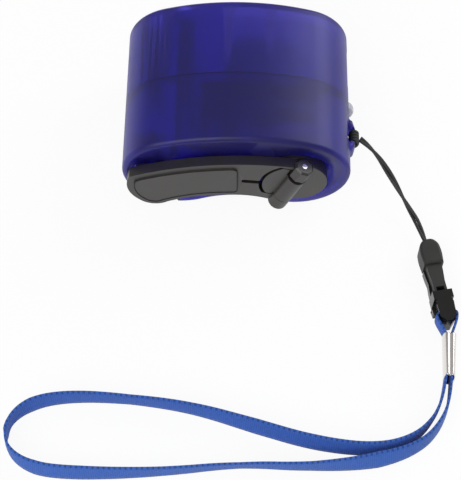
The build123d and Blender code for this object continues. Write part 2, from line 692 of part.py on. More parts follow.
def usb_socket():
    """The folded metal shell of the USB socket."""
    right = usb_mouth_x()
    low, high = LOBE_RADIUS - USB_HEIGHT / 2, LOBE_RADIUS + USB_HEIGHT / 2
    near, far = USB_CENTRE_DEPTH - USB_WIDTH / 2, USB_CENTRE_DEPTH + USB_WIDTH / 2
    outer = board_box(right - USB_LENGTH, right, near, far, low, high)
    inner = board_box(
        right - USB_LENGTH + 1.0, right + 1.0,
        near + USB_METAL, far - USB_METAL, low + USB_METAL, high - USB_METAL,
    )
    shell = outer - inner
    for depth in (USB_CENTRE_DEPTH - 3.0, USB_CENTRE_DEPTH + 3.0):
        shell -= board_box(right - 6.5, right - 3.0, depth - 0.9, depth + 0.9, high - 1.0, high + 1.0)
    return shell


def usb_tongue():
    """The plastic tongue in the USB socket."""
    right = usb_mouth_x() - 1.2
    left = usb_mouth_x() - USB_LENGTH + 1.0
    top = LOBE_RADIUS + USB_HEIGHT / 2 - USB_METAL - 0.6
    half = USB_TONGUE_WIDTH / 2
    tongue = board_box(
        left, right, USB_CENTRE_DEPTH - half, USB_CENTRE_DEPTH + half, top - USB_TONGUE_THICK, top
    )
    back = board_box(
        left, left + 2.0, USB_CENTRE_DEPTH - half, USB_CENTRE_DEPTH + half,
        LOBE_RADIUS - USB_HEIGHT / 2 + USB_METAL, top,
    )
    return tongue + back


def usb_contacts():
    """Four gold contacts on the tongue."""
    right = usb_mouth_x() - 2.0
    underside = LOBE_RADIUS + USB_HEIGHT / 2 - USB_METAL - 0.6 - USB_TONGUE_THICK
    contacts = []
    for place in (-3.5, -1.0, 1.0, 3.5):
        depth = USB_CENTRE_DEPTH + place
        contacts.append(board_box(right - 7.0, right, depth - 0.5, depth + 0.5, underside - 0.15, underside))
    return contacts


def board_parts():
    """Capacitor, inductor and chips, each a piece on the board."""
    below = board_level()
    front = BOARD_FRONT_DEPTH
    capacitor = Pos(21.0, below - 2.6, -(front + 6.0)) * Cylinder(2.5, 7.0)
    inductor = Pos(13.6, below - 1.5, -(front + 12.5)) * Rot(90, 0, 0) * Cylinder(3.0, 3.0)
    chip = board_box(8.2, 12.2, front + 2.0, front + 7.0, below - 1.5, below)
    regulator = board_box(17.8, 19.6, front + 12.0, front + 15.0, below - 1.1, below)
    return capacitor, inductor, [chip, regulator]


def led_lens():
    """The clear 5 mm light: flange, barrel and dome."""
    tip = CASE_WIDTH / 2 + LED_REACH
    place = Pos(tip, LED_Y, -SPLIT_DEPTH) * Rot(0, 90, 0)
    barrel = Pos(0, 0, -(LED_LENGTH + LED_RADIUS) / 2) * Cylinder(LED_RADIUS, LED_LENGTH - LED_RADIUS)
    dome = Pos(0, 0, -LED_RADIUS) * Sphere(LED_RADIUS)
    return place * (barrel + dome)


def led_legs():
    """The light's two legs, bent down to the board."""
    start = CASE_WIDTH / 2 + LED_REACH - LED_LENGTH
    legs = []
    for side in (-1.27, 1.27):
        depth = SPLIT_DEPTH + 1.6 + side / 2
        leg = board_box(start - 2.5, start, depth - 0.25, depth + 0.25, LED_Y + side, LED_Y + side + 0.5)
        legs.append(leg)
    return legs


def storage_cell():
    """Flat rechargeable cell standing at the left."""
    at = Pos(CELL_X, LOBE_RADIUS, -(CELL_FRONT_DEPTH + CELL_LENGTH / 2))
    cell = at * Box(CELL_THICK, CELL_HEIGHT, CELL_LENGTH)
    return fillet(cell.edges().filter_by(Axis.Z), 0.8)


# ---------------------------------------------------------------- crank
def axle_bush():
    """Flanged brass bush in the front wall."""
    bush = rod(CRANK, HUB_POCKET_DEPTH, HUB_POCKET_DEPTH + BUSH_FLANGE, BUSH_FLANGE_RADIUS)
    bush += rod(CRANK, HUB_POCKET_DEPTH, BUSH_END, BUSH_RADIUS)
    return bush - rod(CRANK, 0, CASE_DEPTH, CRANK_AXLE_RADIUS + RUN_GAP)


def crank_axle():
    """Steel axle from the hub through the bush to the crank gear."""
    axle = rod(CRANK, 0.2, AXLE_END, CRANK_AXLE_RADIUS)
    groove = rod(CRANK, *CLIP_RING, 2 * CRANK_AXLE_RADIUS) - rod(CRANK, *CLIP_RING, CRANK_AXLE_RADIUS - 0.4)
    return axle - groove


def axle_clip():
    """Spring clip in the axle's groove, behind the crank gear."""
    ring = disc(CRANK, CRANK_AXLE_RADIUS + 1.2) - disc(CRANK, CRANK_AXLE_RADIUS - 0.4)
    mouth = Pos(CRANK.X, CRANK.Y - CRANK_AXLE_RADIUS) * Rectangle(1.6, 2 * CRANK_AXLE_RADIUS)
    return slab(ring - mouth, *CLIP_RING)


def crank_hub():
    """The turning hub: foot, two-level face and the middle knuckle of the hinge."""
    hub = rod(CRANK, 0, HUB_FOOT, HUB_RADIUS)
    face = rod(CRANK, -ARM_TOP, 0, HUB_RADIUS)
    face -= hinge_block((-20, 0), (-20, 20), (-2 * ARM_TOP, -(ARM_TOP - HUB_STEP)))
    for along in ((ARM_NECK - FREE_GAP, 20), (-20, -ARM_NECK + FREE_GAP)):
        face -= hinge_block((0, 20), along, (-2 * ARM_TOP, 0))
    hub += face
    clear = BARREL_RADIUS + 0.2
    hub -= hinge_rod(KNUCKLE_TOP, 20, clear) + hinge_rod(-20, -KNUCKLE_BOTTOM, clear)
    knuckle = hinge_rod(-KNUCKLE_BOTTOM, KNUCKLE_TOP, BARREL_RADIUS)
    hub += knuckle
    hub -= hinge_rod(-20, 20, HINGE_PIN_RADIUS + RUN_GAP)
    return hub - rod(CRANK, 0.2, CASE_DEPTH, CRANK_AXLE_RADIUS)


def arm_outline():
    """The arm seen from the front, up to the hinge."""
    top_end = HINGE + ACROSS * 1.5 + ALONG * 8.3
    low_end = HINGE + ACROSS * 1.5 - ALONG * 8.6
    return make_face(
        Curve()
        + ThreePointArc((-28.7, 18.4), (-9.0, 24.4), top_end)
        + Line(top_end, low_end)
        + ThreePointArc(low_end, (7.4, 8.5), (5.2, 9.2))
        + ThreePointArc((5.2, 9.2), (-6.5, 9.4), (-18.9, 5.6))
        + ThreePointArc((-18.9, 5.6), (-22.9, 4.4), (-26.3, 6.2))
        + ThreePointArc((-26.3, 6.2), (-29.4, 11.8), (-28.7, 18.4))
    )


def crank_arm():
    """The flat arm: raised grip pad, slot, fork round the hub and the hinge's two ears."""
    outline = arm_outline()
    arm = slab(outline, -ARM_TOP, -ARM_LIFT)
    pad = offset(outline, -PAD_BORDER) & (
        Pos(PAD_END_X - 20, LOBE_RADIUS) * RectangleRounded(40, CASE_HEIGHT, 1.5)
    )
    arm += slab(pad, -ARM_TOP - PAD_RAISE, -ARM_TOP)
    fork = slab(disc(CRANK, ARM_CUT_RADIUS), -2 * ARM_TOP, 0) & hinge_block(
        (-20, 20), (-ARM_NECK, ARM_NECK), (-2 * ARM_TOP, 0)
    )
    arm -= fork
    slot = stadium(Vector(SLOT_START_X + SLOT_WIDTH / 2, SLOT_Y), CRANK, SLOT_WIDTH / 2)
    arm -= slab(slot, -2 * ARM_TOP, 0)
    arm += upper_ear() + lower_ear()
    arm -= hinge_rod(-BARREL_BOTTOM + 1.0, BARREL_TOP, HINGE_PIN_RADIUS)
    return arm - rod(KNOB, -ARM_TOP + 0.8, 0, KNOB_SCREW_RADIUS)


def upper_ear():
    """The arm's upper ear, an eight-sided prism with a bevelled end."""
    middle = HINGE + ALONG * ((TOP_EAR_START + BARREL_TOP) / 2)
    lie_along = Plane(origin=(middle.X, middle.Y, BARREL_RADIUS), z_dir=(ALONG.X, ALONG.Y, 0))
    half_length = (BARREL_TOP - TOP_EAR_START) / 2
    prism = extrude(RegularPolygon(BARREL_RADIUS, 8, rotation=22.5), half_length, both=True)
    prism = chamfer(prism.edges().group_by(Axis.Z)[-1], EAR_BEVEL)
    return lie_along.location * prism


def lower_ear():
    """The arm's lower ear, round, with a bevelled end."""
    length = BARREL_BOTTOM - KNUCKLE_BOTTOM - FIT_GAP
    middle = HINGE - ALONG * (KNUCKLE_BOTTOM + FIT_GAP + length / 2)
    lie_along = Plane(origin=(middle.X, middle.Y, BARREL_RADIUS), z_dir=(-ALONG.X, -ALONG.Y, 0))
    ear = Cylinder(BARREL_RADIUS, length)
    return lie_along.location * fillet(ear.edges().group_by(Axis.Z)[-1], 2 * EAR_BEVEL)


def hinge_pin():
    """Steel pin of the hinge; its bright end shows in the upper ear."""
    return hinge_rod(-BARREL_BOTTOM + 1.0, BARREL_TOP, HINGE_PIN_RADIUS)


def knob():
    """Finger knob that turns on its screw, pointing into the case while the arm is folded."""
    top = -(ARM_LIFT - RUN_GAP)
    profile = Curve() + Line((0, -top), (KNOB_RADIUS - 0.4, -top))
    profile += Line((KNOB_RADIUS - 0.4, -top), (KNOB_RADIUS, -top - 0.4))
    profile += Line((KNOB_RADIUS, -top - 0.4), (KNOB_TIP_RADIUS, -KNOB_LENGTH + 0.8))
    profile += Line((KNOB_TIP_RADIUS, -KNOB_LENGTH + 0.8), (KNOB_TIP_RADIUS - 0.8, -KNOB_LENGTH))
    profile += Line((KNOB_TIP_RADIUS - 0.8, -KNOB_LENGTH), (0, -KNOB_LENGTH))
    profile += Line((0, -KNOB_LENGTH), (0, -top))
    turned = revolve(make_face(Plane.XZ * profile), Axis.Z)
    body = Pos(KNOB.X, KNOB.Y) * turned
    body -= rod(KNOB, -1, CASE_DEPTH, KNOB_SCREW_RADIUS + RUN_GAP)
    return body - rod(KNOB, KNOB_LENGTH - 1.6, CASE_DEPTH, KNOB_SCREW_HEAD + RUN_GAP)


def knob_screw():
    """Shoulder screw that holds the knob on the arm."""
    body = rod(KNOB, -ARM_TOP + 0.8, KNOB_LENGTH - 1.5, KNOB_SCREW_RADIUS)
    head = rod(KNOB, KNOB_LENGTH - 1.5, KNOB_LENGTH - 0.4, KNOB_SCREW_HEAD)
    cross = Pos(KNOB.X, KNOB.Y, -(KNOB_LENGTH - 0.4)) * (Box(0.5, 2.4, 1.0) + Box(2.4, 0.5, 1.0))
    return body + head - cross


# ---------------------------------------------------------------- cord, clip and strap
def corner_radii(points):
    """Radius of each corner's arc: 0.45 of the shorter run over the tangent of half the turn."""
    radii = []
    for before, corner, after in zip(points, points[1:], points[2:]):
        arriving, leaving = corner - before, after - corner
        half_turn = radians(arriving.get_angle(leaving)) / 2
        radii.append(0.45 * min(arriving.length, leaving.length) / tan(half_turn))
    return radii


def smooth_route(name, points):
    """Straight runs joined by tangent arcs; prints the arcs and the length."""
    corners = [Vector(*point) for point in points]
    radii = corner_radii(corners)
    route = FilletPolyline(*corners, radius=radii)
    print(name, "length", round(route.length, 1), "radii", [round(r, 1) for r in radii])
    return route


def cord_loop():
    """The cord's two turns round the eyelet's bar."""
    bar_x = CASE_WIDTH / 2 + EYE_REACH - EYE_BAR / 2
    half_width = EYE_BAR / 2 + STRAND / 2 + RUN_GAP
    half_height = EYE_BAR_HEIGHT / 2 + STRAND / 2 + RUN_GAP
    turns = Part()
    for side in (-1, 1):
        depth = EYE_CENTRE_DEPTH + side * STRAND / 2 * 1.1
        ring = Pos(bar_x, LOBE_RADIUS) * (
            RectangleRounded(2 * half_width + STRAND, 2 * half_height + STRAND, half_width)
            - RectangleRounded(2 * half_width - STRAND, 2 * half_height - STRAND, half_width - STRAND * 0.6)
        )
        turns += slab(ring, depth - STRAND / 2, depth + STRAND / 2)
    return FACE.location * turns


def tether_cord():
    """The doubled cord from the eyelet to the clip."""
    route = smooth_route("cord", CORD_ROUTE)
    section = Plane(origin=route @ 0, z_dir=route % 0) * Circle(CORD_SIZE / 2)
    tube = sweep(section, path=route)
    print("cord volume over section times length", round(tube.volume / (section.area * route.length), 4))
    return tube + cord_loop()


def flat_band(name, route_points, thickness, low, high):
    """A band standing on its edge along a route on the floor."""
    route = smooth_route(name, [(x, y, 0) for x, y in route_points])
    footprint = trace(route, line_width=thickness)
    band = Pos(0, 0, low) * extrude(footprint, high - low, dir=(0, 0, 1))
    expected = thickness * (high - low) * route.length
    print(name, "volume over section times length", round(band.volume / expected, 4))
    return band


def on_floor(start, heading):
    """A frame on the floor whose x runs along a heading in degrees."""
    return Location((start[0], start[1], 0), (0, 0, heading))


def clip_head():
    """Cord half of the clip: rounded head and the tongue that the catch holds."""
    head = Pos(CLIP_HEAD_LENGTH / 2, 0, CLIP_HEIGHT / 2) * Box(CLIP_HEAD_LENGTH, CLIP_WIDTH, CLIP_HEIGHT)
    head = fillet(head.edges().filter_by(Axis.Z).group_by(Axis.X)[0], CLIP_WIDTH * 0.42)
    head = fillet(head.edges().group_by(Axis.Z)[-1] + head.edges().group_by(Axis.Z)[0], CLIP_EDGE_ROUND)
    low, high = CLIP_TONGUE
    tongue_end = CLIP_EYE_PLACE - 3.6
    outline = make_face(Polyline(
        (CLIP_HEAD_LENGTH - 1.0, 2.6), (tongue_end, 1.9), (tongue_end, -1.9),
        (CLIP_HEAD_LENGTH - 1.0, -2.6), close=True,
    ))
    tongue = Pos(0, 0, low) * extrude(outline, high - low, dir=(0, 0, 1))
    catch_hole = Pos(CLIP_HEAD_LENGTH + 7.4, 0, high) * Box(1.3, 2.6, 2 * (high - low))
    cord_hole = Pos(1.5, 0, CORD_ROUTE[-1][2]) * Rot(0, 90, 0) * Cylinder(CORD_SIZE / 2 + FREE_GAP, 3.2)
    return on_floor(CLIP_START, CLIP_HEADING) * (head + tongue - catch_hole - cord_hole)


def clip_body():
    """Strap half of the clip: tray, collar round the tongue and the eye for the short loop."""
    start = CLIP_HEAD_LENGTH + FREE_GAP
    low, high = CLIP_TONGUE
    tray = Pos((start + CLIP_LENGTH - 4.0) / 2, 0, (low - FREE_GAP) / 2) * Box(
        CLIP_LENGTH - 4.0 - start, CLIP_WIDTH - 0.4, low - FREE_GAP
    )
    collar_start = CLIP_HEAD_LENGTH + 8.4
    collar = Pos(collar_start + 1.2, 0, CLIP_HEIGHT / 2) * Box(2.4, CLIP_WIDTH, CLIP_HEIGHT)
    eye_end = CLIP_EYE_PLACE + CLIP_EYE_GAP / 2 + 1.2
    block = Pos((collar_start + eye_end) / 2, 0, CLIP_HEIGHT / 2) * Box(
        eye_end - collar_start, CLIP_EYE_WIDTH, CLIP_HEIGHT
    )
    nose = Pos(0, 0, 0) * extrude(make_face(Polyline(
        (eye_end, CLIP_EYE_WIDTH / 2), (CLIP_LENGTH, 0.8), (CLIP_LENGTH, -0.8),
        (eye_end, -CLIP_EYE_WIDTH / 2), close=True,
    )), CLIP_HEIGHT, dir=(0, 0, 1))
    body = tray + collar + block + nose
    body -= Pos(collar_start + 1.0, 0, (low + high) / 2) * Box(4.4, 4.4, high - low + 2 * FIT_GAP)
    body -= Pos(CLIP_EYE_PLACE, 0, CLIP_HEIGHT / 2) * Box(CLIP_EYE_GAP, 2 * CLIP_WIDTH, CLIP_EYE_HEIGHT)
    return on_floor(CLIP_START, CLIP_HEADING) * body


def strap_loop():
    """The short ribbon loop between the clip's eye and the crimp."""
    middle = CLIP_HEIGHT / 2
    return flat_band("loop", LOOP_ROUTE, LOOP_THICK, middle - LOOP_WIDTH / 2, middle + LOOP_WIDTH / 2)


def crimp():
    """Folded metal crimp that pinches the strap."""
    place = on_floor(CRIMP_START, CRIMP_HEADING)
    outer = RectangleRounded(CRIMP_HEIGHT, CRIMP_WIDTH, 1.2)
    inner = RectangleRounded(CRIMP_HEIGHT - 2 * CRIMP_METAL, CRIMP_WIDTH - 2 * CRIMP_METAL, 0.5)
    seam = Pos(CRIMP_HEIGHT / 2, 0) * Rectangle(2.0, 0.16)
    section = Plane(origin=(0, 0, CRIMP_HEIGHT / 2), x_dir=(0, 0, 1), z_dir=(1, 0, 0))
    return place * (section.location * extrude(outer - inner - seam, CRIMP_LENGTH, dir=(0, 0, 1)))


def wrist_strap():
    """The long ribbon, standing on its edge, with both ends in the crimp."""
    low = CRIMP_METAL + FIT_GAP
    return flat_band("strap", STRAP_ROUTE, STRAP_THICK, low, low + STRAP_WIDTH)


# ---------------------------------------------------------------- all sub-parts
def write(name, shape, on_face=True):
    """Write one sub-part; several solids make one group."""
    pieces = list(shape) if isinstance(shape, (list, tuple)) else [shape]
    solids = [solid for piece in pieces for solid in piece.solids()]
    whole = Compound(solids) if len(solids) > 1 else solids[0]
    export_step(FACE.location * whole if on_face else whole, f"parts/{name}.step")


def main():
    os.makedirs("parts", exist_ok=True)
    capacitor, inductor, chips = board_parts()
    on_face = {
        "front_shell": front_shell(),
        "rear_shell": rear_shell(),
        "case_screws": case_screws(),
        "mid_plate": mid_plate(),
        "motor_plate": motor_plate(),
        "gearbox_screws": gearbox_screws(),
        "motor_screws": motor_screws(),
        "first_axle": gear_axle(FIRST_AXLE, 4.0),
        "second_axle": gear_axle(SECOND_AXLE, MID_PLATE[0] + 0.3),
        "generator_can": generator_can(),
        "generator_cap": generator_cap(),
        "generator_magnets": generator_magnets(),
        "generator_tabs": generator_tabs(),
        "rotor_core": rotor_core(),
        "rotor_shaft": rotor_shaft(),
        "commutator": commutator(),
        "motor_pinion": motor_pinion(),
        "crank_gear": crank_gear(),
        "first_gear": first_gear(),
        "second_gear": second_gear(),
        "axle_bush": axle_bush(),
        "crank_axle": crank_axle(),
        "axle_clip": axle_clip(),
        "crank_hub": crank_hub(),
        "crank_arm": crank_arm(),
        "hinge_pin": hinge_pin(),
        "knob": knob(),
        "knob_screw": knob_screw(),
        "circuit_board": circuit_board(),
        "usb_socket": usb_socket(),
        "usb_tongue": usb_tongue(),
        "usb_contacts": usb_contacts(),
        "board_capacitor": capacitor,
        "board_inductor": inductor,
        "board_chips": chips,
        "led_lens": led_lens(),
        "led_legs": led_legs(),
        "storage_cell": storage_cell(),
    }
    for name, shape in on_face.items():
        write(name, shape)
    on_the_floor = {
        "tether_cord": tether_cord(),
        "clip_head": clip_head(),
        "clip_body": clip_body(),
        "strap_loop": strap_loop(),
        "crimp": crimp(),
        "wrist_strap": wrist_strap(),
    }
    for name, shape in on_the_floor.items():
        write(name, shape, on_face=False)


main()
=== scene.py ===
import math

import bmesh
import bpy
import numpy as np
from bpy.props import FloatProperty, FloatVectorProperty, PointerProperty
from mathutils import Matrix, Vector


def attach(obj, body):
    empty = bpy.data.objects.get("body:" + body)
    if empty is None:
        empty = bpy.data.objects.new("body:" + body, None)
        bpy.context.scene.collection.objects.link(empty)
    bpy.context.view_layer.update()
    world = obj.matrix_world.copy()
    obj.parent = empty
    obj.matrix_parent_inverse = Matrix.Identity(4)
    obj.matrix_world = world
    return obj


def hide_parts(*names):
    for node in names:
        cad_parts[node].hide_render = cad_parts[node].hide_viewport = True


bl_info = {
    "name": "Hand crank phone charger",
    "version": (1, 0, 0),
    "blender": (4, 5, 0),
    "location": "3D View > Sidebar > Charger",
    "description": "Finishes the charger's case, crank, works, cord, clip and wrist strap",
    "category": "Object",
}

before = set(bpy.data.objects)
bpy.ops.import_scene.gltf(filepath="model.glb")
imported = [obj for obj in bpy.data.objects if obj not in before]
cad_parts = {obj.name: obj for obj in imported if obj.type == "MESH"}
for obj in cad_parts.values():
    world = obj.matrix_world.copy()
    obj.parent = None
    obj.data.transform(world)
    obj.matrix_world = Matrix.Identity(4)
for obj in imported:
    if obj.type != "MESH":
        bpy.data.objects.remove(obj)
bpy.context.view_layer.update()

MM = 0.001
# Metres within which two levels are the same, and within which a CAD node's loose corners are one
NEAR = 0.00002
MERGE = 0.000004
# Faces that turn less than FLAT are one, edges past ROUND_FROM are rounded, past SHARP_FROM shade sharp
FLAT = math.radians(0.6)
ROUND_FROM = math.radians(28)
SHARP_FROM = math.radians(32)

# Lengths from here to the pad's are in millimetres. The cord's and the strap's routes are those of
# the part's source; the short loop's is drawn in a little.
CORD_ROUTE = (
    (33.0, -8.0, 15.2), (36.8, -10.2, 13.6), (42.2, -15.6, 7.7),
    (46.5, -22.2, 3.9), (49.86, -28.69, 3.3), (51.67, -35.97, 3.3),
)
# x, y and how far the ribbon's top edge leans to +Y, in degrees
STRAP_ROUTE = (
    (55.85, -69.5, 0), (55.5, -78.0, 0), (52.6, -86.5, 6), (46.8, -92.8, 10), (35.6, -96.8, 20),
    (19.0, -98.5, 0), (1.0, -98.0, -8), (-19.0, -100.4, 0), (-39.0, -101.0, 12), (-51.4, -100.0, 14),
    (-58.4, -95.0, 4), (-58.9, -87.6, 0), (-53.0, -82.1, 10), (-42.4, -80.1, 6), (-27.0, -80.8, 0),
    (-11.0, -83.0, 6), (5.0, -87.8, 16), (20.0, -92.2, 16), (35.0, -93.9, 12), (45.0, -91.0, 6),
    (50.7, -85.2, 0), (53.8, -77.5, 0), (54.8, -69.5, 0),
)
LOOP_ROUTE = (
    (56.1, -64.7, 0), (56.2, -62.0, 0), (58.35, -56.85, 0), (58.05, -54.7, 0),
    (52.6, -55.7, 0), (53.05, -57.85, 0), (55.3, -62.1, 0), (55.05, -64.7, 0),
)
# Heights of the ribbons' middle lines above the floor
STRAP_MIDDLE = 3.45
LOOP_MIDDLE = 3.3
# The eyelet's bar with the cord's turns on it, and the side of the case that its bridge stands on
STRAND = 0.9
EYE_BAR_PLACE = (31.3, -8.0, 15.2)
EYE_BAR_SIZE = (1.2, 2.4)
EYE_SIDE_X = 30.1
EYE_HALF_LENGTH = 5.0
EYE_SHORTENING = 0.86
# How wide the clip is along its length, in mm from its head, as a share of its solid's width
CLIP_START = (51.3, -34.0)
CLIP_HEADING = -79.3
CLIP_RUNS = (0.0, 2.0, 4.5, 7.6, 8.2, 12.0, 15.0, 16.0, 18.4, 19.0, 25.0)
CLIP_WIDTHS = (0.78, 0.86, 0.93, 0.84, 0.92, 0.74, 0.86, 0.84, 0.84, 1.02, 0.9)
# The crimp's length, width and height, its wall, and the depth and half width of its seam
CRIMP_START = (55.75, -62.2)
CRIMP_HEADING = -93.4
CRIMP_SIZE = (12.0, 3.9, 6.9)
CRIMP_WALL = 0.3
SEAM_DEPTH = 0.45
SEAM_HALF_WIDTH = 0.22
ROLL_HEIGHT = 0.35
# The arm's raised pad
ARM_FACE_Y = -23.0
PAD_RAISE = 0.5
# HINGE_LEFT: the painted shade line round the pad stops at this x, in mm
HINGE_LEFT = 2.0

# The clip's rounding, the cord's two strands and the ribbons, in metres
CLIP_ROUND = 0.00025
STRAND_RADIUS = 0.00046
STRAND_OFFSET = 0.00045
STRAND_TWIST = 0.03
STRAND_SIDES = 10
RIB_PITCH = 0.00055
LOOP_WIDTH = 0.0044
SELVAGE_COLOR = (0.004, 0.008, 0.06)
# Points across one face of a ribbon, and how much of its thickness its edges lose
FACE_POINTS = 6
EDGE_THINNING = 0.35
# How many points ahead of one corner of the strap's route the next one is looked for
SEARCH = 120

# The photograph's viewpoint: what the camera looks at, its distance, and its angles in radians
CAMERA_TARGET = (-0.0022816, -0.0318538, 0)
CAMERA_DISTANCE = 0.387363
CAMERA_AZIMUTH = 0.0142602
CAMERA_ELEVATION = 1.0715515
# Lamp, place, size and share of the key light's power
LAMPS = (
    ("Back lamp", (0.42, 0.3, 0.3), 0.4, 0.6),
    ("Front lamp", (-0.25, -0.45, 0.5), 0.5, 1.0),
)
LAMP_AIM = (0, 0, 0.01)
WORLD_STRENGTH = 0.45
FLOOR_GLOW = 0.92


# ---------------------------------------------------------------- sizes and colours
class CHARGER_PG_case(bpy.types.PropertyGroup):
    """The frosted case."""

    plastic: FloatVectorProperty(
        name="Plastic", description="Colour of the translucent case", subtype="COLOR",
        min=0, max=1, default=(0.075, 0.058, 0.52),
    )
    frosting: FloatProperty(
        name="Frosting", description="Roughness of the case's skin", subtype="FACTOR",
        min=0, max=1, default=0.4,
    )
    clearness: FloatProperty(
        name="Clearness", description="Share of light that goes through the wall", subtype="FACTOR",
        min=0, max=1, default=0.9,
    )


class CHARGER_PG_crank(bpy.types.PropertyGroup):
    """The crank's moulded plastic."""

    plastic: FloatVectorProperty(
        name="Plastic", description="Colour of the crank, its hub and its knob", subtype="COLOR",
        min=0, max=1, default=(0.014, 0.012, 0.0105),
    )
    edge_round: FloatProperty(
        name="Edge round", description="Rounding of the crank's edges", subtype="DISTANCE", unit="LENGTH",
        min=0, max=0.001, default=0.0003,
    )


class CHARGER_PG_strap(bpy.types.PropertyGroup):
    """The wrist strap and the cord."""

    width: FloatProperty(
        name="Ribbon width", description="Width of the wrist strap", subtype="DISTANCE", unit="LENGTH",
        min=0.002, max=0.02, default=0.006,
    )
    thickness: FloatProperty(
        name="Ribbon thickness", description="Thickness of the woven ribbon", subtype="DISTANCE",
        unit="LENGTH", min=0.0002, max=0.002, default=0.0007,
    )
    ribbon: FloatVectorProperty(
        name="Ribbon", description="Colour of the woven ribbon", subtype="COLOR",
        min=0, max=1, default=(0.04, 0.12, 0.46),
    )


class CHARGER_PG_stage(bpy.types.PropertyGroup):
    """Floor, light and camera."""

    key_power: FloatProperty(
        name="Key light", description="Power of the soft lamp in front, in watts",
        min=0, max=20, default=2.6,
    )
    lens: FloatProperty(
        name="Lens", description="Focal length for a sensor 36 mm wide", unit="CAMERA", min=10, max=300,
        default=109.33,
    )


# ---------------------------------------------------------------- materials
def new_material(name, color, roughness, **sockets):
    """A material with one Principled BSDF; other sockets are given by name, with _ for a space."""
    material = bpy.data.materials.new(name)
    material.use_nodes = True
    shader = material.node_tree.nodes["Principled BSDF"]
    shader.inputs["Base Color"].default_value = (*color, 1)
    shader.inputs["Roughness"].default_value = roughness
    for socket, value in sockets.items():
        shader.inputs[socket.replace("_", " ")].default_value = value
    return material


def math_node(tree, operation, *values):
    """A Math node's output; each value is a number or another node's output."""
    node = tree.nodes.new("ShaderNodeMath")
    node.operation = operation
    for entry, value in zip(node.inputs, values):
        if isinstance(value, (int, float)):
            entry.default_value = value
        else:
            tree.links.new(value, entry)
    return node.outputs[0]


def grain_group():
    """Fine unevenness of a moulded or drawn surface: a roughness that varies and a shallow bump."""
    group = bpy.data.node_groups.get("Surface grain")
    if group:
        return group
    group = bpy.data.node_groups.new("Surface grain", "ShaderNodeTree")
    for socket, default in (
        ("Roughness", 0.4), ("Variation", 0.1), ("Grain size", 2500.0), ("Cloud size", 120.0),
        ("Depth", 0.2),
    ):
        entry = group.interface.new_socket(socket, in_out="INPUT", socket_type="NodeSocketFloat")
        entry.default_value = default
    group.interface.new_socket("Roughness", in_out="OUTPUT", socket_type="NodeSocketFloat")
    group.interface.new_socket("Clouds", in_out="OUTPUT", socket_type="NodeSocketFloat")
    group.interface.new_socket("Normal", in_out="OUTPUT", socket_type="NodeSocketVector")
    nodes, links = group.nodes, group.links
    entry, leaving = nodes.new("NodeGroupInput"), nodes.new("NodeGroupOutput")
    place = nodes.new("ShaderNodeTexCoord")
    fine, clouds = nodes.new("ShaderNodeTexNoise"), nodes.new("ShaderNodeTexNoise")
    fine.inputs["Detail"].default_value = 2
    clouds.inputs["Detail"].default_value = 3
    links.new(place.outputs["Object"], fine.inputs["Vector"])
    links.new(place.outputs["Object"], clouds.inputs["Vector"])
    links.new(entry.outputs["Grain size"], fine.inputs["Scale"])
    links.new(entry.outputs["Cloud size"], clouds.inputs["Scale"])
    swing = math_node(group, "SUBTRACT", clouds.outputs["Fac"], 0.5)
    rough = math_node(group, "MULTIPLY_ADD", swing, entry.outputs["Variation"], entry.outputs["Roughness"])
    bump = nodes.new("ShaderNodeBump")
    bump.inputs["Distance"].default_value = 0.00002
    links.new(fine.outputs["Fac"], bump.inputs["Height"])
    links.new(entry.outputs["Depth"], bump.inputs["Strength"])
    links.new(rough, leaving.inputs["Roughness"])
    links.new(clouds.outputs["Fac"], leaving.inputs["Clouds"])
    links.new(bump.outputs["Normal"], leaving.inputs["Normal"])
    return group


def add_grain(material, roughness, variation, grain, clouds, depth, tint=None):
    """Gives a material the surface grain, and a second colour in soft clouds if a tint is given."""
    tree = material.node_tree
    shader = tree.nodes["Principled BSDF"]
    group = tree.nodes.new("ShaderNodeGroup")
    group.node_tree = grain_group()
    for socket, value in (
        ("Roughness", roughness), ("Variation", variation), ("Grain size", grain), ("Cloud size", clouds),
        ("Depth", depth),
    ):
        group.inputs[socket].default_value = value
    tree.links.new(group.outputs["Roughness"], shader.inputs["Roughness"])
    tree.links.new(group.outputs["Normal"], shader.inputs["Normal"])
    if tint:
        mix = tree.nodes.new("ShaderNodeMix")
        mix.data_type = "RGBA"
        mix.inputs["A"].default_value = shader.inputs["Base Color"].default_value
        mix.inputs["B"].default_value = (*tint, 1)
        tree.links.new(group.outputs["Clouds"], mix.inputs["Factor"])
        tree.links.new(mix.outputs["Result"], shader.inputs["Base Color"])
    return material


def case_material(look):
    """Frosted translucent plastic."""
    material = new_material(
        "Frosted case", look.plastic, look.frosting, Transmission_Weight=look.clearness, IOR=1.4,
        Specular_IOR_Level=0.4,
    )
    return add_grain(material, look.frosting, variation=0.1, grain=3500.0, clouds=90.0, depth=0.15)


def crank_material(look):
    """Satin charcoal plastic."""
    roughness = 0.42
    paler = [c * 1.5 for c in look.plastic]
    material = new_material("Crank plastic", look.plastic, roughness, Specular_IOR_Level=0.72)
    return add_grain(material, roughness, variation=0.14, grain=4000.0, clouds=150.0, depth=0.3, tint=paler)


def black_plastic(name, shade, roughness):
    """Black moulded plastic, as matte or as polished as its roughness says."""
    paler = (shade * 1.6, shade * 1.55, shade * 1.5)
    material = new_material(name, (shade, shade, shade * 0.94), roughness, Specular_IOR_Level=0.35)
    return add_grain(material, roughness, variation=0.12, grain=3000.0, clouds=200.0, depth=0.2, tint=paler)


def metal(name, color, roughness):
    """Plain metal with a faint uneven polish."""
    duller = [c * 0.88 for c in color]
    material = new_material(name, color, roughness, Metallic=1.0)
    return add_grain(material, roughness, variation=0.12, grain=1500.0, clouds=250.0, depth=0.1, tint=duller)


def plastic(name, color, roughness, tint):
    """Plain moulded plastic."""
    material = new_material(name, color, roughness)
    return add_grain(material, roughness, variation=0.1, grain=2500.0, clouds=180.0, depth=0.15, tint=tint)


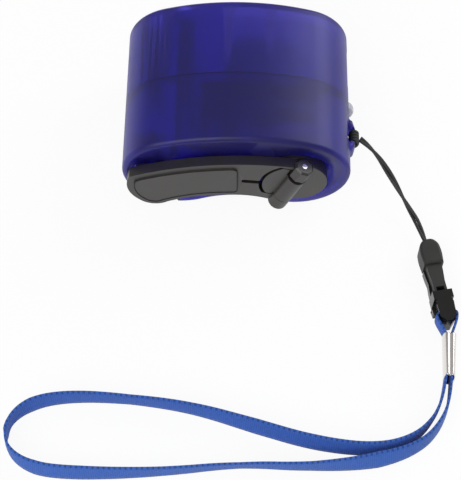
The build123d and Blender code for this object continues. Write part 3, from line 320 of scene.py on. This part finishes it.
def cloth_material(name, color, rib_count):
    """Woven ribbon: cross ribs, threads and a darker stitched selvage along both edges, on its UV map."""
    thread_count, selvage_from, stitches_per_rib = 11, 0.405, 0.4
    material = new_material(name, color, 0.8, Sheen_Weight=0.12, Sheen_Roughness=0.4, Specular_IOR_Level=0.3)
    tree = material.node_tree
    shader = tree.nodes["Principled BSDF"]
    nodes, links = tree.nodes, tree.links
    place = nodes.new("ShaderNodeTexCoord")
    split = nodes.new("ShaderNodeSeparateXYZ")
    links.new(place.outputs["UV"], split.inputs[0])
    along, across = split.outputs["X"], split.outputs["Y"]
    turn = 2 * math.pi
    ribs = math_node(tree, "SINE", math_node(tree, "MULTIPLY", along, turn * rib_count))
    threads = math_node(tree, "SINE", math_node(tree, "MULTIPLY", across, turn * thread_count))
    from_middle = math_node(tree, "ABSOLUTE", math_node(tree, "SUBTRACT", across, 0.5))
    edge = math_node(tree, "GREATER_THAN", from_middle, selvage_from)
    waves = math_node(tree, "SINE", math_node(tree, "MULTIPLY", along, turn * stitches_per_rib * rib_count))
    selvage = math_node(tree, "MULTIPLY", edge, math_node(tree, "GREATER_THAN", waves, 0.35))
    noise = nodes.new("ShaderNodeTexNoise")
    noise.inputs["Scale"].default_value = 900
    links.new(place.outputs["Object"], noise.inputs["Vector"])
    mottle = math_node(tree, "MULTIPLY_ADD", noise.outputs["Fac"], 0.5, 0.15)
    shade = math_node(tree, "MULTIPLY_ADD", ribs, 0.16, mottle)
    base = nodes.new("ShaderNodeMix")
    base.data_type = "RGBA"
    base.inputs["A"].default_value = (*[c * 1.25 for c in color], 1)
    base.inputs["B"].default_value = (*[c * 0.7 for c in color], 1)
    links.new(shade, base.inputs["Factor"])
    edged = nodes.new("ShaderNodeMix")
    edged.data_type = "RGBA"
    edged.inputs["B"].default_value = (*SELVAGE_COLOR, 1)
    links.new(base.outputs["Result"], edged.inputs["A"])
    links.new(math_node(tree, "MULTIPLY", selvage, 0.5), edged.inputs["Factor"])
    links.new(edged.outputs["Result"], shader.inputs["Base Color"])
    height = math_node(tree, "MULTIPLY_ADD", ribs, 0.5, math_node(tree, "MULTIPLY", threads, 0.3))
    bump = nodes.new("ShaderNodeBump")
    bump.inputs["Strength"].default_value = 0.5
    bump.inputs["Distance"].default_value = 0.00006
    links.new(height, bump.inputs["Height"])
    links.new(bump.outputs["Normal"], shader.inputs["Normal"])
    return material


def paint(node, material):
    """Puts one material on a CAD node."""
    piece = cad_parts[node]
    piece.data.materials.clear()
    piece.data.materials.append(material)


def floor_material():
    """Pale floor that stays pale where the camera, gloss and clear plastic see it, and keeps shadows."""
    material = bpy.data.materials.new("Pale floor")
    material.use_nodes = True
    tree = material.node_tree
    nodes, links = tree.nodes, tree.links
    shader = nodes["Principled BSDF"]
    shader.inputs["Base Color"].default_value = (0.92, 0.92, 0.92, 1)
    shader.inputs["Roughness"].default_value = 0.9
    glow = nodes.new("ShaderNodeEmission")
    glow.inputs["Strength"].default_value = 1.0
    mix = nodes.new("ShaderNodeMixShader")
    path = nodes.new("ShaderNodeLightPath")
    looking = math_node(tree, "MAXIMUM", path.outputs["Is Camera Ray"], path.outputs["Is Glossy Ray"])
    seen = math_node(tree, "MAXIMUM", looking, path.outputs["Is Transmission Ray"])
    links.new(math_node(tree, "MULTIPLY", seen, FLOOR_GLOW), mix.inputs["Fac"])
    links.new(shader.outputs[0], mix.inputs[1])
    links.new(glow.outputs[0], mix.inputs[2])
    links.new(mix.outputs[0], nodes["Material Output"].inputs["Surface"])
    return material


def studio_world():
    """An even white surround, dim as a light and full white where it is seen."""
    world = bpy.data.worlds.new("Studio")
    world.use_nodes = True
    tree = world.node_tree
    background = tree.nodes["Background"]
    background.inputs["Color"].default_value = (1, 1, 1, 1)
    path = tree.nodes.new("ShaderNodeLightPath")
    seen = math_node(tree, "MAXIMUM", path.outputs["Is Camera Ray"], path.outputs["Is Transmission Ray"])
    strength = tree.nodes.new("ShaderNodeMapRange")
    strength.inputs["To Min"].default_value = WORLD_STRENGTH
    strength.inputs["To Max"].default_value = 1.0
    tree.links.new(seen, strength.inputs["Value"])
    tree.links.new(strength.outputs["Result"], background.inputs["Strength"])
    return world


# ---------------------------------------------------------------- mesh helpers
def finish_piece(name, bm, material, body):
    """Makes a smooth object of a bmesh, gives it its material and puts it on its body."""
    mesh = bpy.data.meshes.new(name)
    bm.to_mesh(mesh)
    bm.free()
    mesh.materials.append(material)
    for face in mesh.polygons:
        face.use_smooth = True
    piece = bpy.data.objects.new(name, mesh)
    bpy.context.scene.collection.objects.link(piece)
    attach(piece, body)
    return piece


def merged(node, join_flat=True):
    """A bmesh of a CAD node, its loose triangles merged and, if asked, joined into flat faces."""
    bm = bmesh.new()
    bm.from_mesh(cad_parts[node].data)
    bmesh.ops.remove_doubles(bm, verts=bm.verts, dist=MERGE)
    if join_flat:
        bmesh.ops.dissolve_limit(
            bm, angle_limit=FLAT, verts=bm.verts, edges=bm.edges, use_dissolve_boundaries=False,
        )
    return bm


def rounded_copy(node, name, material, body, radius, reshape=None):
    """A merged copy of a CAD node that stands for it, with its sharp edges rounded to the radius."""
    bm = merged(node, join_flat=radius > 0)
    if reshape:
        reshape(bm)
    if radius:
        sharp = [e for e in bm.edges if len(e.link_faces) == 2 and e.calc_face_angle(0) > ROUND_FROM]
        bmesh.ops.bevel(
            bm, geom=sharp, offset=radius, segments=3, profile=0.5, affect="EDGES", material=-1,
            clamp_overlap=True, offset_type="OFFSET",
        )
    bmesh.ops.triangulate(bm, faces=[f for f in bm.faces if len(f.verts) > 4])
    piece = finish_piece(name, bm, material, body)
    even_shading(piece)
    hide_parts(node)


def even_shading(piece):
    """Smooth shading that keeps flat faces flat and sharp edges sharp."""
    piece.data.set_sharp_from_angle(angle=SHARP_FROM)
    weights = piece.modifiers.new("Even shading", "WEIGHTED_NORMAL")
    weights.keep_sharp = True
    weights.weight = 80


def mesh_of_curve(curve):
    """The mesh that a curve makes; the curve itself goes."""
    holder = bpy.data.objects.new(curve.name, curve)
    bpy.context.scene.collection.objects.link(holder)
    bpy.context.view_layer.update()
    mesh = bpy.data.meshes.new_from_object(holder)
    bpy.data.objects.remove(holder)
    bpy.data.curves.remove(curve)
    return mesh


def route_points(name, points):
    """Points of the smooth line that the route's corners guide."""
    curve = bpy.data.curves.new(name, "CURVE")
    curve.dimensions = "3D"
    spline = curve.splines.new("NURBS")
    spline.points.add(len(points) - 1)
    for place, point in zip(spline.points, points):
        place.co = (*[c * MM for c in point], 1)
    spline.order_u = 3
    spline.use_endpoint_u = True
    spline.resolution_u = 24
    mesh = mesh_of_curve(curve)
    line = [vertex.co.copy() for vertex in mesh.vertices]
    bpy.data.meshes.remove(mesh)
    return line


def evenly(line, step):
    """Points of the line an even step apart, and its length."""
    places = np.array([tuple(p) for p in line])
    runs = np.r_[0, np.cumsum(np.linalg.norm(np.diff(places, axis=0), axis=1))]
    count = max(2, int(round(runs[-1] / step)) + 1)
    at = np.linspace(0, runs[-1], count)
    return [Vector([np.interp(s, runs, places[:, axis]) for axis in range(3)]) for s in at], float(runs[-1])


def swept(bm, line, sides, section):
    """Sweeps a section along a line; section(i, run) gives its points to the side and up at point i."""
    rings = []
    run = 0.0
    count = len(line)
    layer = bm.loops.layers.uv.verify()
    for i, point in enumerate(line):
        ahead, behind = line[min(i + 1, count - 1)], line[max(i - 1, 0)]
        along = (ahead - behind).normalized()
        side = along.cross(Vector((0, 0, 1))).normalized()
        up = side.cross(along).normalized()
        if i:
            run += (point - line[i - 1]).length
        rings.append([bm.verts.new(point + side * a + up * b) for a, b in section(i, run)])
    for i in range(count - 1):
        for k in range(sides):
            j = (k + 1) % sides
            face = bm.faces.new((rings[i][k], rings[i + 1][k], rings[i + 1][j], rings[i][j]))
            for loop in face.loops:
                first = loop.vert in (rings[i][k], rings[i][j])
                across = k if loop.vert in (rings[i][k], rings[i + 1][k]) else k + 1
                loop[layer].uv = ((i if first else i + 1) / (count - 1), across / sides)
    for ring in (rings[0], list(reversed(rings[-1]))):
        bm.faces.new(ring)


def round_pad_corners(bm):
    """Rounds the corners of the arm's raised pad, seen from the front."""
    foot, top = ARM_FACE_Y * MM, (ARM_FACE_Y - PAD_RAISE) * MM
    corners = [
        edge for edge in bm.edges
        if abs(min(vert.co.y for vert in edge.verts) - top) < NEAR
        and abs(max(vert.co.y for vert in edge.verts) - foot) < NEAR
        and (edge.verts[0].co.xz - edge.verts[1].co.xz).length < NEAR
        and len(edge.link_faces) == 2 and edge.calc_face_angle(0) > math.radians(40)
    ]
    bmesh.ops.bevel(
        bm, geom=corners, offset=0.0012, segments=6, profile=0.5, affect="EDGES", material=-1,
        clamp_overlap=False,
    )


def chained(edges):
    """The edges joined end to end into lines of points."""
    left, lines = list(edges), []
    while left:
        ends = [vert for edge in left for vert in edge.verts]
        line = [next((vert for vert in ends if ends.count(vert) == 1), ends[0])]
        while True:
            edge = next((edge for edge in left if line[-1] in edge.verts), None)
            if edge is None:
                break
            left.remove(edge)
            line.append(edge.other_vert(line[-1]))
        lines.append([vert.co.copy() for vert in line])
    return lines


def pad_shade_line(material):
    """Painted shade: a dark line round the arm's raised pad, along its lower edge and its two ends, where
    the step is in shade.
    """
    bm = merged("crank_arm")
    round_pad_corners(bm)
    bm.normal_update()
    level = (ARM_FACE_Y - PAD_RAISE) * MM
    # Only the edges whose side faces look down or sideways, the ones in shade, get the painted shade line
    rim = [
        edge for edge in bm.edges
        if all(abs(vert.co.y - level) < NEAR and vert.co.x < HINGE_LEFT * MM for vert in edge.verts)
        and any(abs(face.normal.y) < 0.2 and face.normal.z < 0.35 for face in edge.link_faces)
    ]
    curve = bpy.data.curves.new("Pad shade line", "CURVE")
    curve.dimensions = "3D"
    curve.bevel_depth = 0.00015
    curve.use_fill_caps = True
    for line in chained(rim):
        spline = curve.splines.new("POLY")
        spline.points.add(len(line) - 1)
        for place, point in zip(spline.points, line):
            place.co = (*point, 1)
    bm.free()
    bm = bmesh.new()
    bm.from_mesh(mesh_of_curve(curve))
    finish_piece("Pad_shade_line", bm, material, "arm")


def bow_eyelet(bm):
    """Bows the eyelet's bridge, highest at its middle, and draws its ends together."""
    side_x, middle_y, middle_z = EYE_SIDE_X * MM, EYE_BAR_PLACE[1] * MM, EYE_BAR_PLACE[2] * MM
    half = EYE_HALF_LENGTH * MM
    for vert in bm.verts:
        off = vert.co.y - middle_y
        if vert.co.x > side_x + NEAR and abs(off) < half + NEAR and abs(vert.co.z - middle_z) < half:
            rise = 0.5 + 0.5 * math.cos(math.pi / 2 * min(1.0, abs(off) / half))
            vert.co.x = side_x + (vert.co.x - side_x) * rise
            vert.co.y = middle_y + off * EYE_SHORTENING


def slim_clip(bm):
    """Draws the clip in to the width of the real one, with a head that swells and a waist behind it."""
    heading = math.radians(CLIP_HEADING)
    along = Vector((math.cos(heading), math.sin(heading), 0))
    across = Vector((-along.y, along.x, 0))
    start = Vector((*CLIP_START, 0)) * MM
    bmesh.ops.subdivide_edges(
        bm, edges=[e for e in bm.edges if e.calc_length() > 0.0025], cuts=3, use_grid_fill=True,
    )
    for vert in bm.verts:
        run = (vert.co - start).dot(along) / MM
        off = (vert.co - start).dot(across)
        width = float(np.interp(run, CLIP_RUNS, CLIP_WIDTHS))
        vert.co += across * off * (width - 1)


def cord_turns(material):
    """The cord's turns round the eyelet's bar."""
    bm = bmesh.new()
    reach = EYE_BAR_SIZE[0] / 2 + STRAND / 2
    rise = EYE_BAR_SIZE[1] / 2 + STRAND / 2
    for turn in (-1.5, -0.5, 0.5, 1.5):
        ring = bmesh.ops.create_circle(bm, segments=10, radius=STRAND / 2)["verts"]
        bmesh.ops.translate(bm, verts=ring, vec=(reach, turn * STRAND, 0))
        edges = list({edge for vert in ring for edge in vert.link_edges})
        bmesh.ops.spin(
            bm, geom=ring + edges, cent=(0, 0, 0), axis=(0, 1, 0), angle=2 * math.pi, steps=24,
            use_merge=True,
        )
    bmesh.ops.scale(bm, vec=(1, 1, rise / reach), verts=bm.verts)
    bmesh.ops.translate(bm, vec=EYE_BAR_PLACE, verts=bm.verts)
    bmesh.ops.scale(bm, vec=(MM, MM, MM), verts=bm.verts)
    bmesh.ops.remove_doubles(bm, verts=bm.verts, dist=0.000002)
    bmesh.ops.recalc_face_normals(bm, faces=bm.faces)
    return finish_piece("Cord_turns", bm, material, "housing")


def crimp_shell(material):
    """The crimp: a sleeve whose rolled edges meet in a seam on top, a little narrower at the strap."""
    length, width, height = CRIMP_SIZE
    bm = bmesh.new()
    ring = bmesh.ops.create_circle(bm, segments=72, radius=1.0)["verts"]
    for vert in ring:
        flat, tall = vert.co.x, vert.co.y
        across = width / 2 * math.copysign(abs(flat) ** 0.6, flat)
        up = height / 2 * math.copysign(abs(tall) ** 0.5, tall)
        if tall > 0:
            up += ROLL_HEIGHT * abs(math.sin(math.pi * across / width * 2)) - ROLL_HEIGHT
            up -= SEAM_DEPTH * math.exp(-((across / SEAM_HALF_WIDTH) ** 2))
        vert.co = (0, across, up)
    edges = list({edge for vert in ring for edge in vert.link_edges})
    for along in (0.25, length / 2, length - 0.25, length):
        grown = bmesh.ops.extrude_edge_only(bm, edges=edges)["geom"]
        edges = [item for item in grown if isinstance(item, bmesh.types.BMEdge)]
        for vert in (item for item in grown if isinstance(item, bmesh.types.BMVert)):
            vert.co.x = along
    for vert in bm.verts:
        drawn_in = 0.12 * max(0.0, -vert.co.z / (height / 2))
        vert.co.y *= 0.92 - 0.16 * vert.co.x / length - drawn_in
    bmesh.ops.recalc_face_normals(bm, faces=bm.faces)
    bmesh.ops.solidify(bm, geom=bm.faces[:], thickness=CRIMP_WALL)
    bmesh.ops.translate(bm, vec=(0, 0, height / 2), verts=bm.verts)
    turn = Matrix.Rotation(math.radians(CRIMP_HEADING), 3, "Z")
    bmesh.ops.rotate(bm, verts=bm.verts, cent=(0, 0, 0), matrix=turn)
    bmesh.ops.translate(bm, vec=(*CRIMP_START, 0), verts=bm.verts)
    bmesh.ops.scale(bm, vec=(MM, MM, MM), verts=bm.verts)
    bmesh.ops.recalc_face_normals(bm, faces=bm.faces)
    piece = finish_piece("Crimp", bm, material, "strap")
    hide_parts("crimp")


def leans_along(line, route):
    """How far the strap leans at each point of its line, eased from corner to corner of its route."""
    corners = np.array([(x * MM, y * MM) for x, y, _ in route])
    places = np.array([(p.x, p.y) for p in line])
    nearest = [0]
    for corner in corners[1:-1]:
        first = nearest[-1] + 1
        window = places[first:first + SEARCH]
        nearest.append(first + int(np.argmin(np.linalg.norm(window - corner, axis=1))))
    nearest.append(len(line) - 1)
    return np.interp(range(len(line)), nearest, [lean for _, _, lean in route])


def ribbon_section(line, leans, width, thickness):
    """The section of a ribbon that is thinner at its edges and leans as told."""
    last = len(line) - 1
    directions = [(line[min(i + 1, last)] - line[max(i - 1, 0)]).normalized() for i in range(last + 1)]
    steps = [2 * k / (FACE_POINTS - 1) - 1 for k in range(FACE_POINTS)]
    upper = [(thickness / 2 * (1 - EDGE_THINNING * t**6), width / 2 * t) for t in steps]
    points = upper + [(-a, b) for a, b in reversed(upper)]

    def section(i, _run):
        side = directions[i].cross(Vector((0, 0, 1)))
        lean = math.radians(leans[i]) * (1 if side.y > 0 else -1)
        return [
            (a * math.cos(lean) + b * math.sin(lean), -a * math.sin(lean) + b * math.cos(lean))
            for a, b in points
        ]

    return section


def map_both_faces(bm):
    """Turns a swept ribbon's UV map from once round its section to once across on each face."""
    layer = bm.loops.layers.uv.active
    for face in bm.faces:
        for loop in face.loops:
            along, round_section = loop[layer].uv
            k = round_section * 2 * FACE_POINTS
            across = k if k <= FACE_POINTS - 1 else max(0.0, 2 * FACE_POINTS - 1 - k)
            loop[layer].uv = (along, across / (FACE_POINTS - 1))


# ---------------------------------------------------------------- pieces
class CHARGER_OT_stage(bpy.types.Operator):
    """Floor, soft studio light and the camera at the photograph's angle"""

    bl_idname = "charger.stage"
    bl_label = "Stage"

    def execute(self, context):
        look = context.scene.charger_stage
        context.scene.view_settings.view_transform = "Standard"
        bm = bmesh.new()
        bmesh.ops.create_grid(bm, x_segments=1, y_segments=1, size=1.5)
        mesh = bpy.data.meshes.new("Floor")
        bm.to_mesh(mesh)
        bm.free()
        floor = bpy.data.objects.new("Floor", mesh)
        context.scene.collection.objects.link(floor)
        mesh.materials.append(floor_material())
        context.scene.world = studio_world()
        for name, place, size, share in LAMPS:
            lamp = bpy.data.lights.new(name, "AREA")
            lamp.size = size
            lamp.energy = look.key_power * share
            holder = bpy.data.objects.new(name, lamp)
            context.scene.collection.objects.link(holder)
            aim = Vector(LAMP_AIM) - Vector(place)
            turn = aim.to_track_quat("-Z", "Y").to_matrix().to_4x4()
            holder.matrix_world = Matrix.Translation(place) @ turn

        camera = bpy.data.cameras.new("Camera")
        camera.sensor_fit = "HORIZONTAL"
        camera.sensor_width = 36.0
        camera.lens = look.lens
        camera.clip_start = 0.01
        holder = bpy.data.objects.new("Camera", camera)
        context.scene.collection.objects.link(holder)
        level = math.cos(CAMERA_ELEVATION)
        away = Vector((
            level * math.sin(CAMERA_AZIMUTH), -level * math.cos(CAMERA_AZIMUTH), math.sin(CAMERA_ELEVATION),
        ))
        turn = (-away).to_track_quat("-Z", "Y").to_matrix().to_4x4()
        holder.matrix_world = Matrix.Translation(Vector(CAMERA_TARGET) + away * CAMERA_DISTANCE) @ turn
        context.scene.camera = holder
        return {"FINISHED"}


class CHARGER_OT_case(bpy.types.Operator):
    """Frosted halves of the case, the light and the USB socket"""

    bl_idname = "charger.case"
    bl_label = "Case"

    def execute(self, context):
        material = case_material(context.scene.charger_case)
        rounded_copy("front_shell", "Front_shell", material, "housing", 0, reshape=bow_eyelet)
        rounded_copy("rear_shell", "Rear_shell", material, "housing", 0)
        lens = new_material("Light lens", (0.97, 0.98, 1.0), 0.1, Transmission_Weight=0.6, IOR=1.5)
        paint("led_lens", lens)
        steel = metal("Zinc steel", (0.62, 0.62, 0.63), 0.3)
        paint("led_legs", steel)
        paint("case_screws", steel)
        paint("usb_socket", metal("Socket nickel", (0.75, 0.74, 0.72), 0.22))
        paint("usb_tongue", black_plastic("Tongue plastic", 0.012, 0.35))
        paint("usb_contacts", metal("Contact gold", (0.9, 0.68, 0.3), 0.25))
        return {"FINISHED"}


class CHARGER_OT_crank(bpy.types.Operator):
    """Crank arm, hub, hinge pin and knob"""

    bl_idname = "charger.crank"
    bl_label = "Crank"

    def execute(self, context):
        look = context.scene.charger_crank
        material = crank_material(look)
        rounded_copy("crank_arm", "Crank_arm", material, "arm", look.edge_round, reshape=round_pad_corners)
        rounded_copy("crank_hub", "Crank_hub", material, "hub", look.edge_round * 0.7)
        rounded_copy("knob", "Knob", material, "finger_knob", look.edge_round)
        # Painted shade: a near-black line along the pad's shaded lower edge and ends, not a real groove
        pad_shade_line(black_plastic("Painted pad shade", 0.004, 0.6))
        pin = metal("Pin steel", (0.72, 0.72, 0.72), 0.18)
        for node in ("hinge_pin", "crank_axle", "axle_clip"):
            paint(node, pin)
        paint("knob_screw", metal("Darkened steel", (0.3, 0.3, 0.31), 0.28))
        paint("axle_bush", metal("Bush brass", (0.72, 0.52, 0.2), 0.3))
        return {"FINISHED"}


class CHARGER_OT_works(bpy.types.Operator):
    """Gears, plates and generator inside the case"""

    bl_idname = "charger.works"
    bl_label = "Gearbox and generator"

    def execute(self, context):
        nylon = plastic("Gear nylon", (0.72, 0.71, 0.66), 0.45, (0.66, 0.65, 0.6))
        for node in ("crank_gear", "first_gear", "second_gear", "generator_cap"):
            paint(node, nylon)
        dark = plastic("Gearbox plastic", (0.02, 0.02, 0.024), 0.5, (0.03, 0.03, 0.034))
        for node in ("mid_plate", "motor_plate"):
            paint(node, dark)
        steel = metal("Works steel", (0.5, 0.5, 0.51), 0.32)
        for node in (
            "gearbox_screws", "motor_screws", "first_axle", "second_axle", "rotor_shaft", "rotor_core",
        ):
            paint(node, steel)
        paint("generator_can", metal("Generator can", (0.35, 0.35, 0.36), 0.38))
        paint("generator_magnets", plastic("Magnet", (0.04, 0.04, 0.045), 0.55, (0.06, 0.06, 0.06)))
        brass = metal("Brass", (0.75, 0.55, 0.22), 0.28)
        for node in ("motor_pinion", "generator_tabs"):
            paint(node, brass)
        paint("commutator", metal("Copper", (0.75, 0.36, 0.2), 0.3))
        paint("circuit_board", plastic("Board", (0.01, 0.13, 0.05), 0.4, (0.01, 0.1, 0.04)))
        paint("board_capacitor", metal("Capacitor can", (0.1, 0.1, 0.16), 0.4))
        paint("board_inductor", plastic("Ferrite", (0.03, 0.03, 0.03), 0.6, (0.05, 0.05, 0.05)))
        paint("board_chips", plastic("Chip", (0.012, 0.012, 0.013), 0.5, (0.02, 0.02, 0.02)))
        paint("storage_cell", plastic("Cell wrap", (0.02, 0.03, 0.06), 0.3, (0.03, 0.04, 0.08)))
        return {"FINISHED"}


class CHARGER_OT_cord(bpy.types.Operator):
    """The doubled cord from the eyelet to the clip"""

    bl_idname = "charger.cord"
    bl_label = "Tether cord"

    def execute(self, context):
        material = plastic("Braided cord", (0.012, 0.012, 0.013), 0.6, (0.03, 0.03, 0.03))
        turns = cord_turns(material)
        line, length = evenly(route_points("Cord route", CORD_ROUTE), 0.0006)
        bm = bmesh.new()
        for side in (-1, 1):

            def strand(_i, run, offset=side * STRAND_OFFSET):
                turn = 2 * math.pi * run / STRAND_TWIST
                across, up = offset * math.cos(turn), offset * math.sin(turn)
                return [
                    (across + STRAND_RADIUS * math.cos(a), up + STRAND_RADIUS * math.sin(a))
                    for a in (2 * math.pi * k / STRAND_SIDES for k in range(STRAND_SIDES))
                ]

            swept(bm, line, STRAND_SIDES, strand)
        bmesh.ops.recalc_face_normals(bm, faces=bm.faces)
        cord = finish_piece("Tether_cord", bm, material, "housing")
        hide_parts("tether_cord")
        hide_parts("tether_cord")
        return {"FINISHED"}


class CHARGER_OT_clip(bpy.types.Operator):
    """The clip's two halves and the crimp"""

    bl_idname = "charger.clip"
    bl_label = "Clip and crimp"

    def execute(self, context):
        for node, name, shade, roughness, body in (
            ("clip_head", "Clip_head", 0.022, 0.5, "housing"),
            ("clip_body", "Clip_body", 0.006, 0.28, "strap"),
        ):
            material = black_plastic(name.replace("_", " "), shade, roughness)
            rounded_copy(node, name, material, body, CLIP_ROUND, reshape=slim_clip)
        crimp_shell(metal("Crimp nickel", (0.8, 0.77, 0.75), 0.16))
        return {"FINISHED"}


class CHARGER_OT_strap(bpy.types.Operator):
    """The woven wrist strap and its short loop"""

    bl_idname = "charger.strap"
    bl_label = "Wrist strap"

    def execute(self, context):
        look = context.scene.charger_strap
        for name, route, middle, width, node, step in (
            ("Strap_loop", LOOP_ROUTE, LOOP_MIDDLE, LOOP_WIDTH, "strap_loop", 0.0004),
            ("Wrist_strap", STRAP_ROUTE, STRAP_MIDDLE, look.width, "wrist_strap", 0.001),
        ):
            line, length = evenly(route_points(name, [(x, y, middle) for x, y, _ in route]), step)
            material = cloth_material(name.replace("_", " "), look.ribbon, length / RIB_PITCH)
            leans = leans_along(line, route) if name == "Wrist_strap" else [0.0] * len(line)
            bm = bmesh.new()
            swept(bm, line, 2 * FACE_POINTS, ribbon_section(line, leans, width, look.thickness))
            map_both_faces(bm)
            bmesh.ops.recalc_face_normals(bm, faces=bm.faces)
            piece = finish_piece(name, bm, material, "strap")
            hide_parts(node)
        return {"FINISHED"}


class CHARGER_PT_panel(bpy.types.Panel):
    """Lists the charger's pieces and their sizes and colours"""

    bl_idname = "CHARGER_PT_panel"
    bl_label = "Hand crank charger"
    bl_space_type = "VIEW_3D"
    bl_region_type = "UI"
    bl_category = "Charger"

    def draw(self, context):
        for group, operators in PANEL_ROWS:
            box = self.layout.box()
            look = getattr(context.scene, group)
            for entry in look.bl_rna.properties:
                if entry.identifier not in ("rna_type", "name"):
                    box.prop(look, entry.identifier)
            for operator in operators:
                box.operator(operator)


PANEL_ROWS = (
    ("charger_stage", ("charger.stage",)),
    ("charger_case", ("charger.case", "charger.works")),
    ("charger_crank", ("charger.crank",)),
    ("charger_strap", ("charger.cord", "charger.clip", "charger.strap")),
)
GROUPS = {
    "charger_stage": CHARGER_PG_stage,
    "charger_case": CHARGER_PG_case,
    "charger_crank": CHARGER_PG_crank,
    "charger_strap": CHARGER_PG_strap,
}
CLASSES = (
    *GROUPS.values(),
    CHARGER_OT_stage, CHARGER_OT_case, CHARGER_OT_works, CHARGER_OT_crank, CHARGER_OT_cord, CHARGER_OT_clip,
    CHARGER_OT_strap, CHARGER_PT_panel,
)


def register():
    """Adds the groups, the operators and the panel to Blender."""
    for cls in CLASSES:
        bpy.utils.register_class(cls)
    for name, group in GROUPS.items():
        setattr(bpy.types.Scene, name, PointerProperty(type=group))


def unregister():
    """Takes them out again."""
    for name in GROUPS:
        delattr(bpy.types.Scene, name)
    for cls in reversed(CLASSES):
        bpy.utils.unregister_class(cls)


def main():
    """Makes every piece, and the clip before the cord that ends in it."""
    register()
    bpy.ops.charger.stage()
    bpy.ops.charger.clip()
    bpy.ops.charger.cord()
    bpy.ops.charger.strap()
    bpy.ops.charger.case()
    bpy.ops.charger.works()
    bpy.ops.charger.crank()


if __name__ == "__main__":
    main()
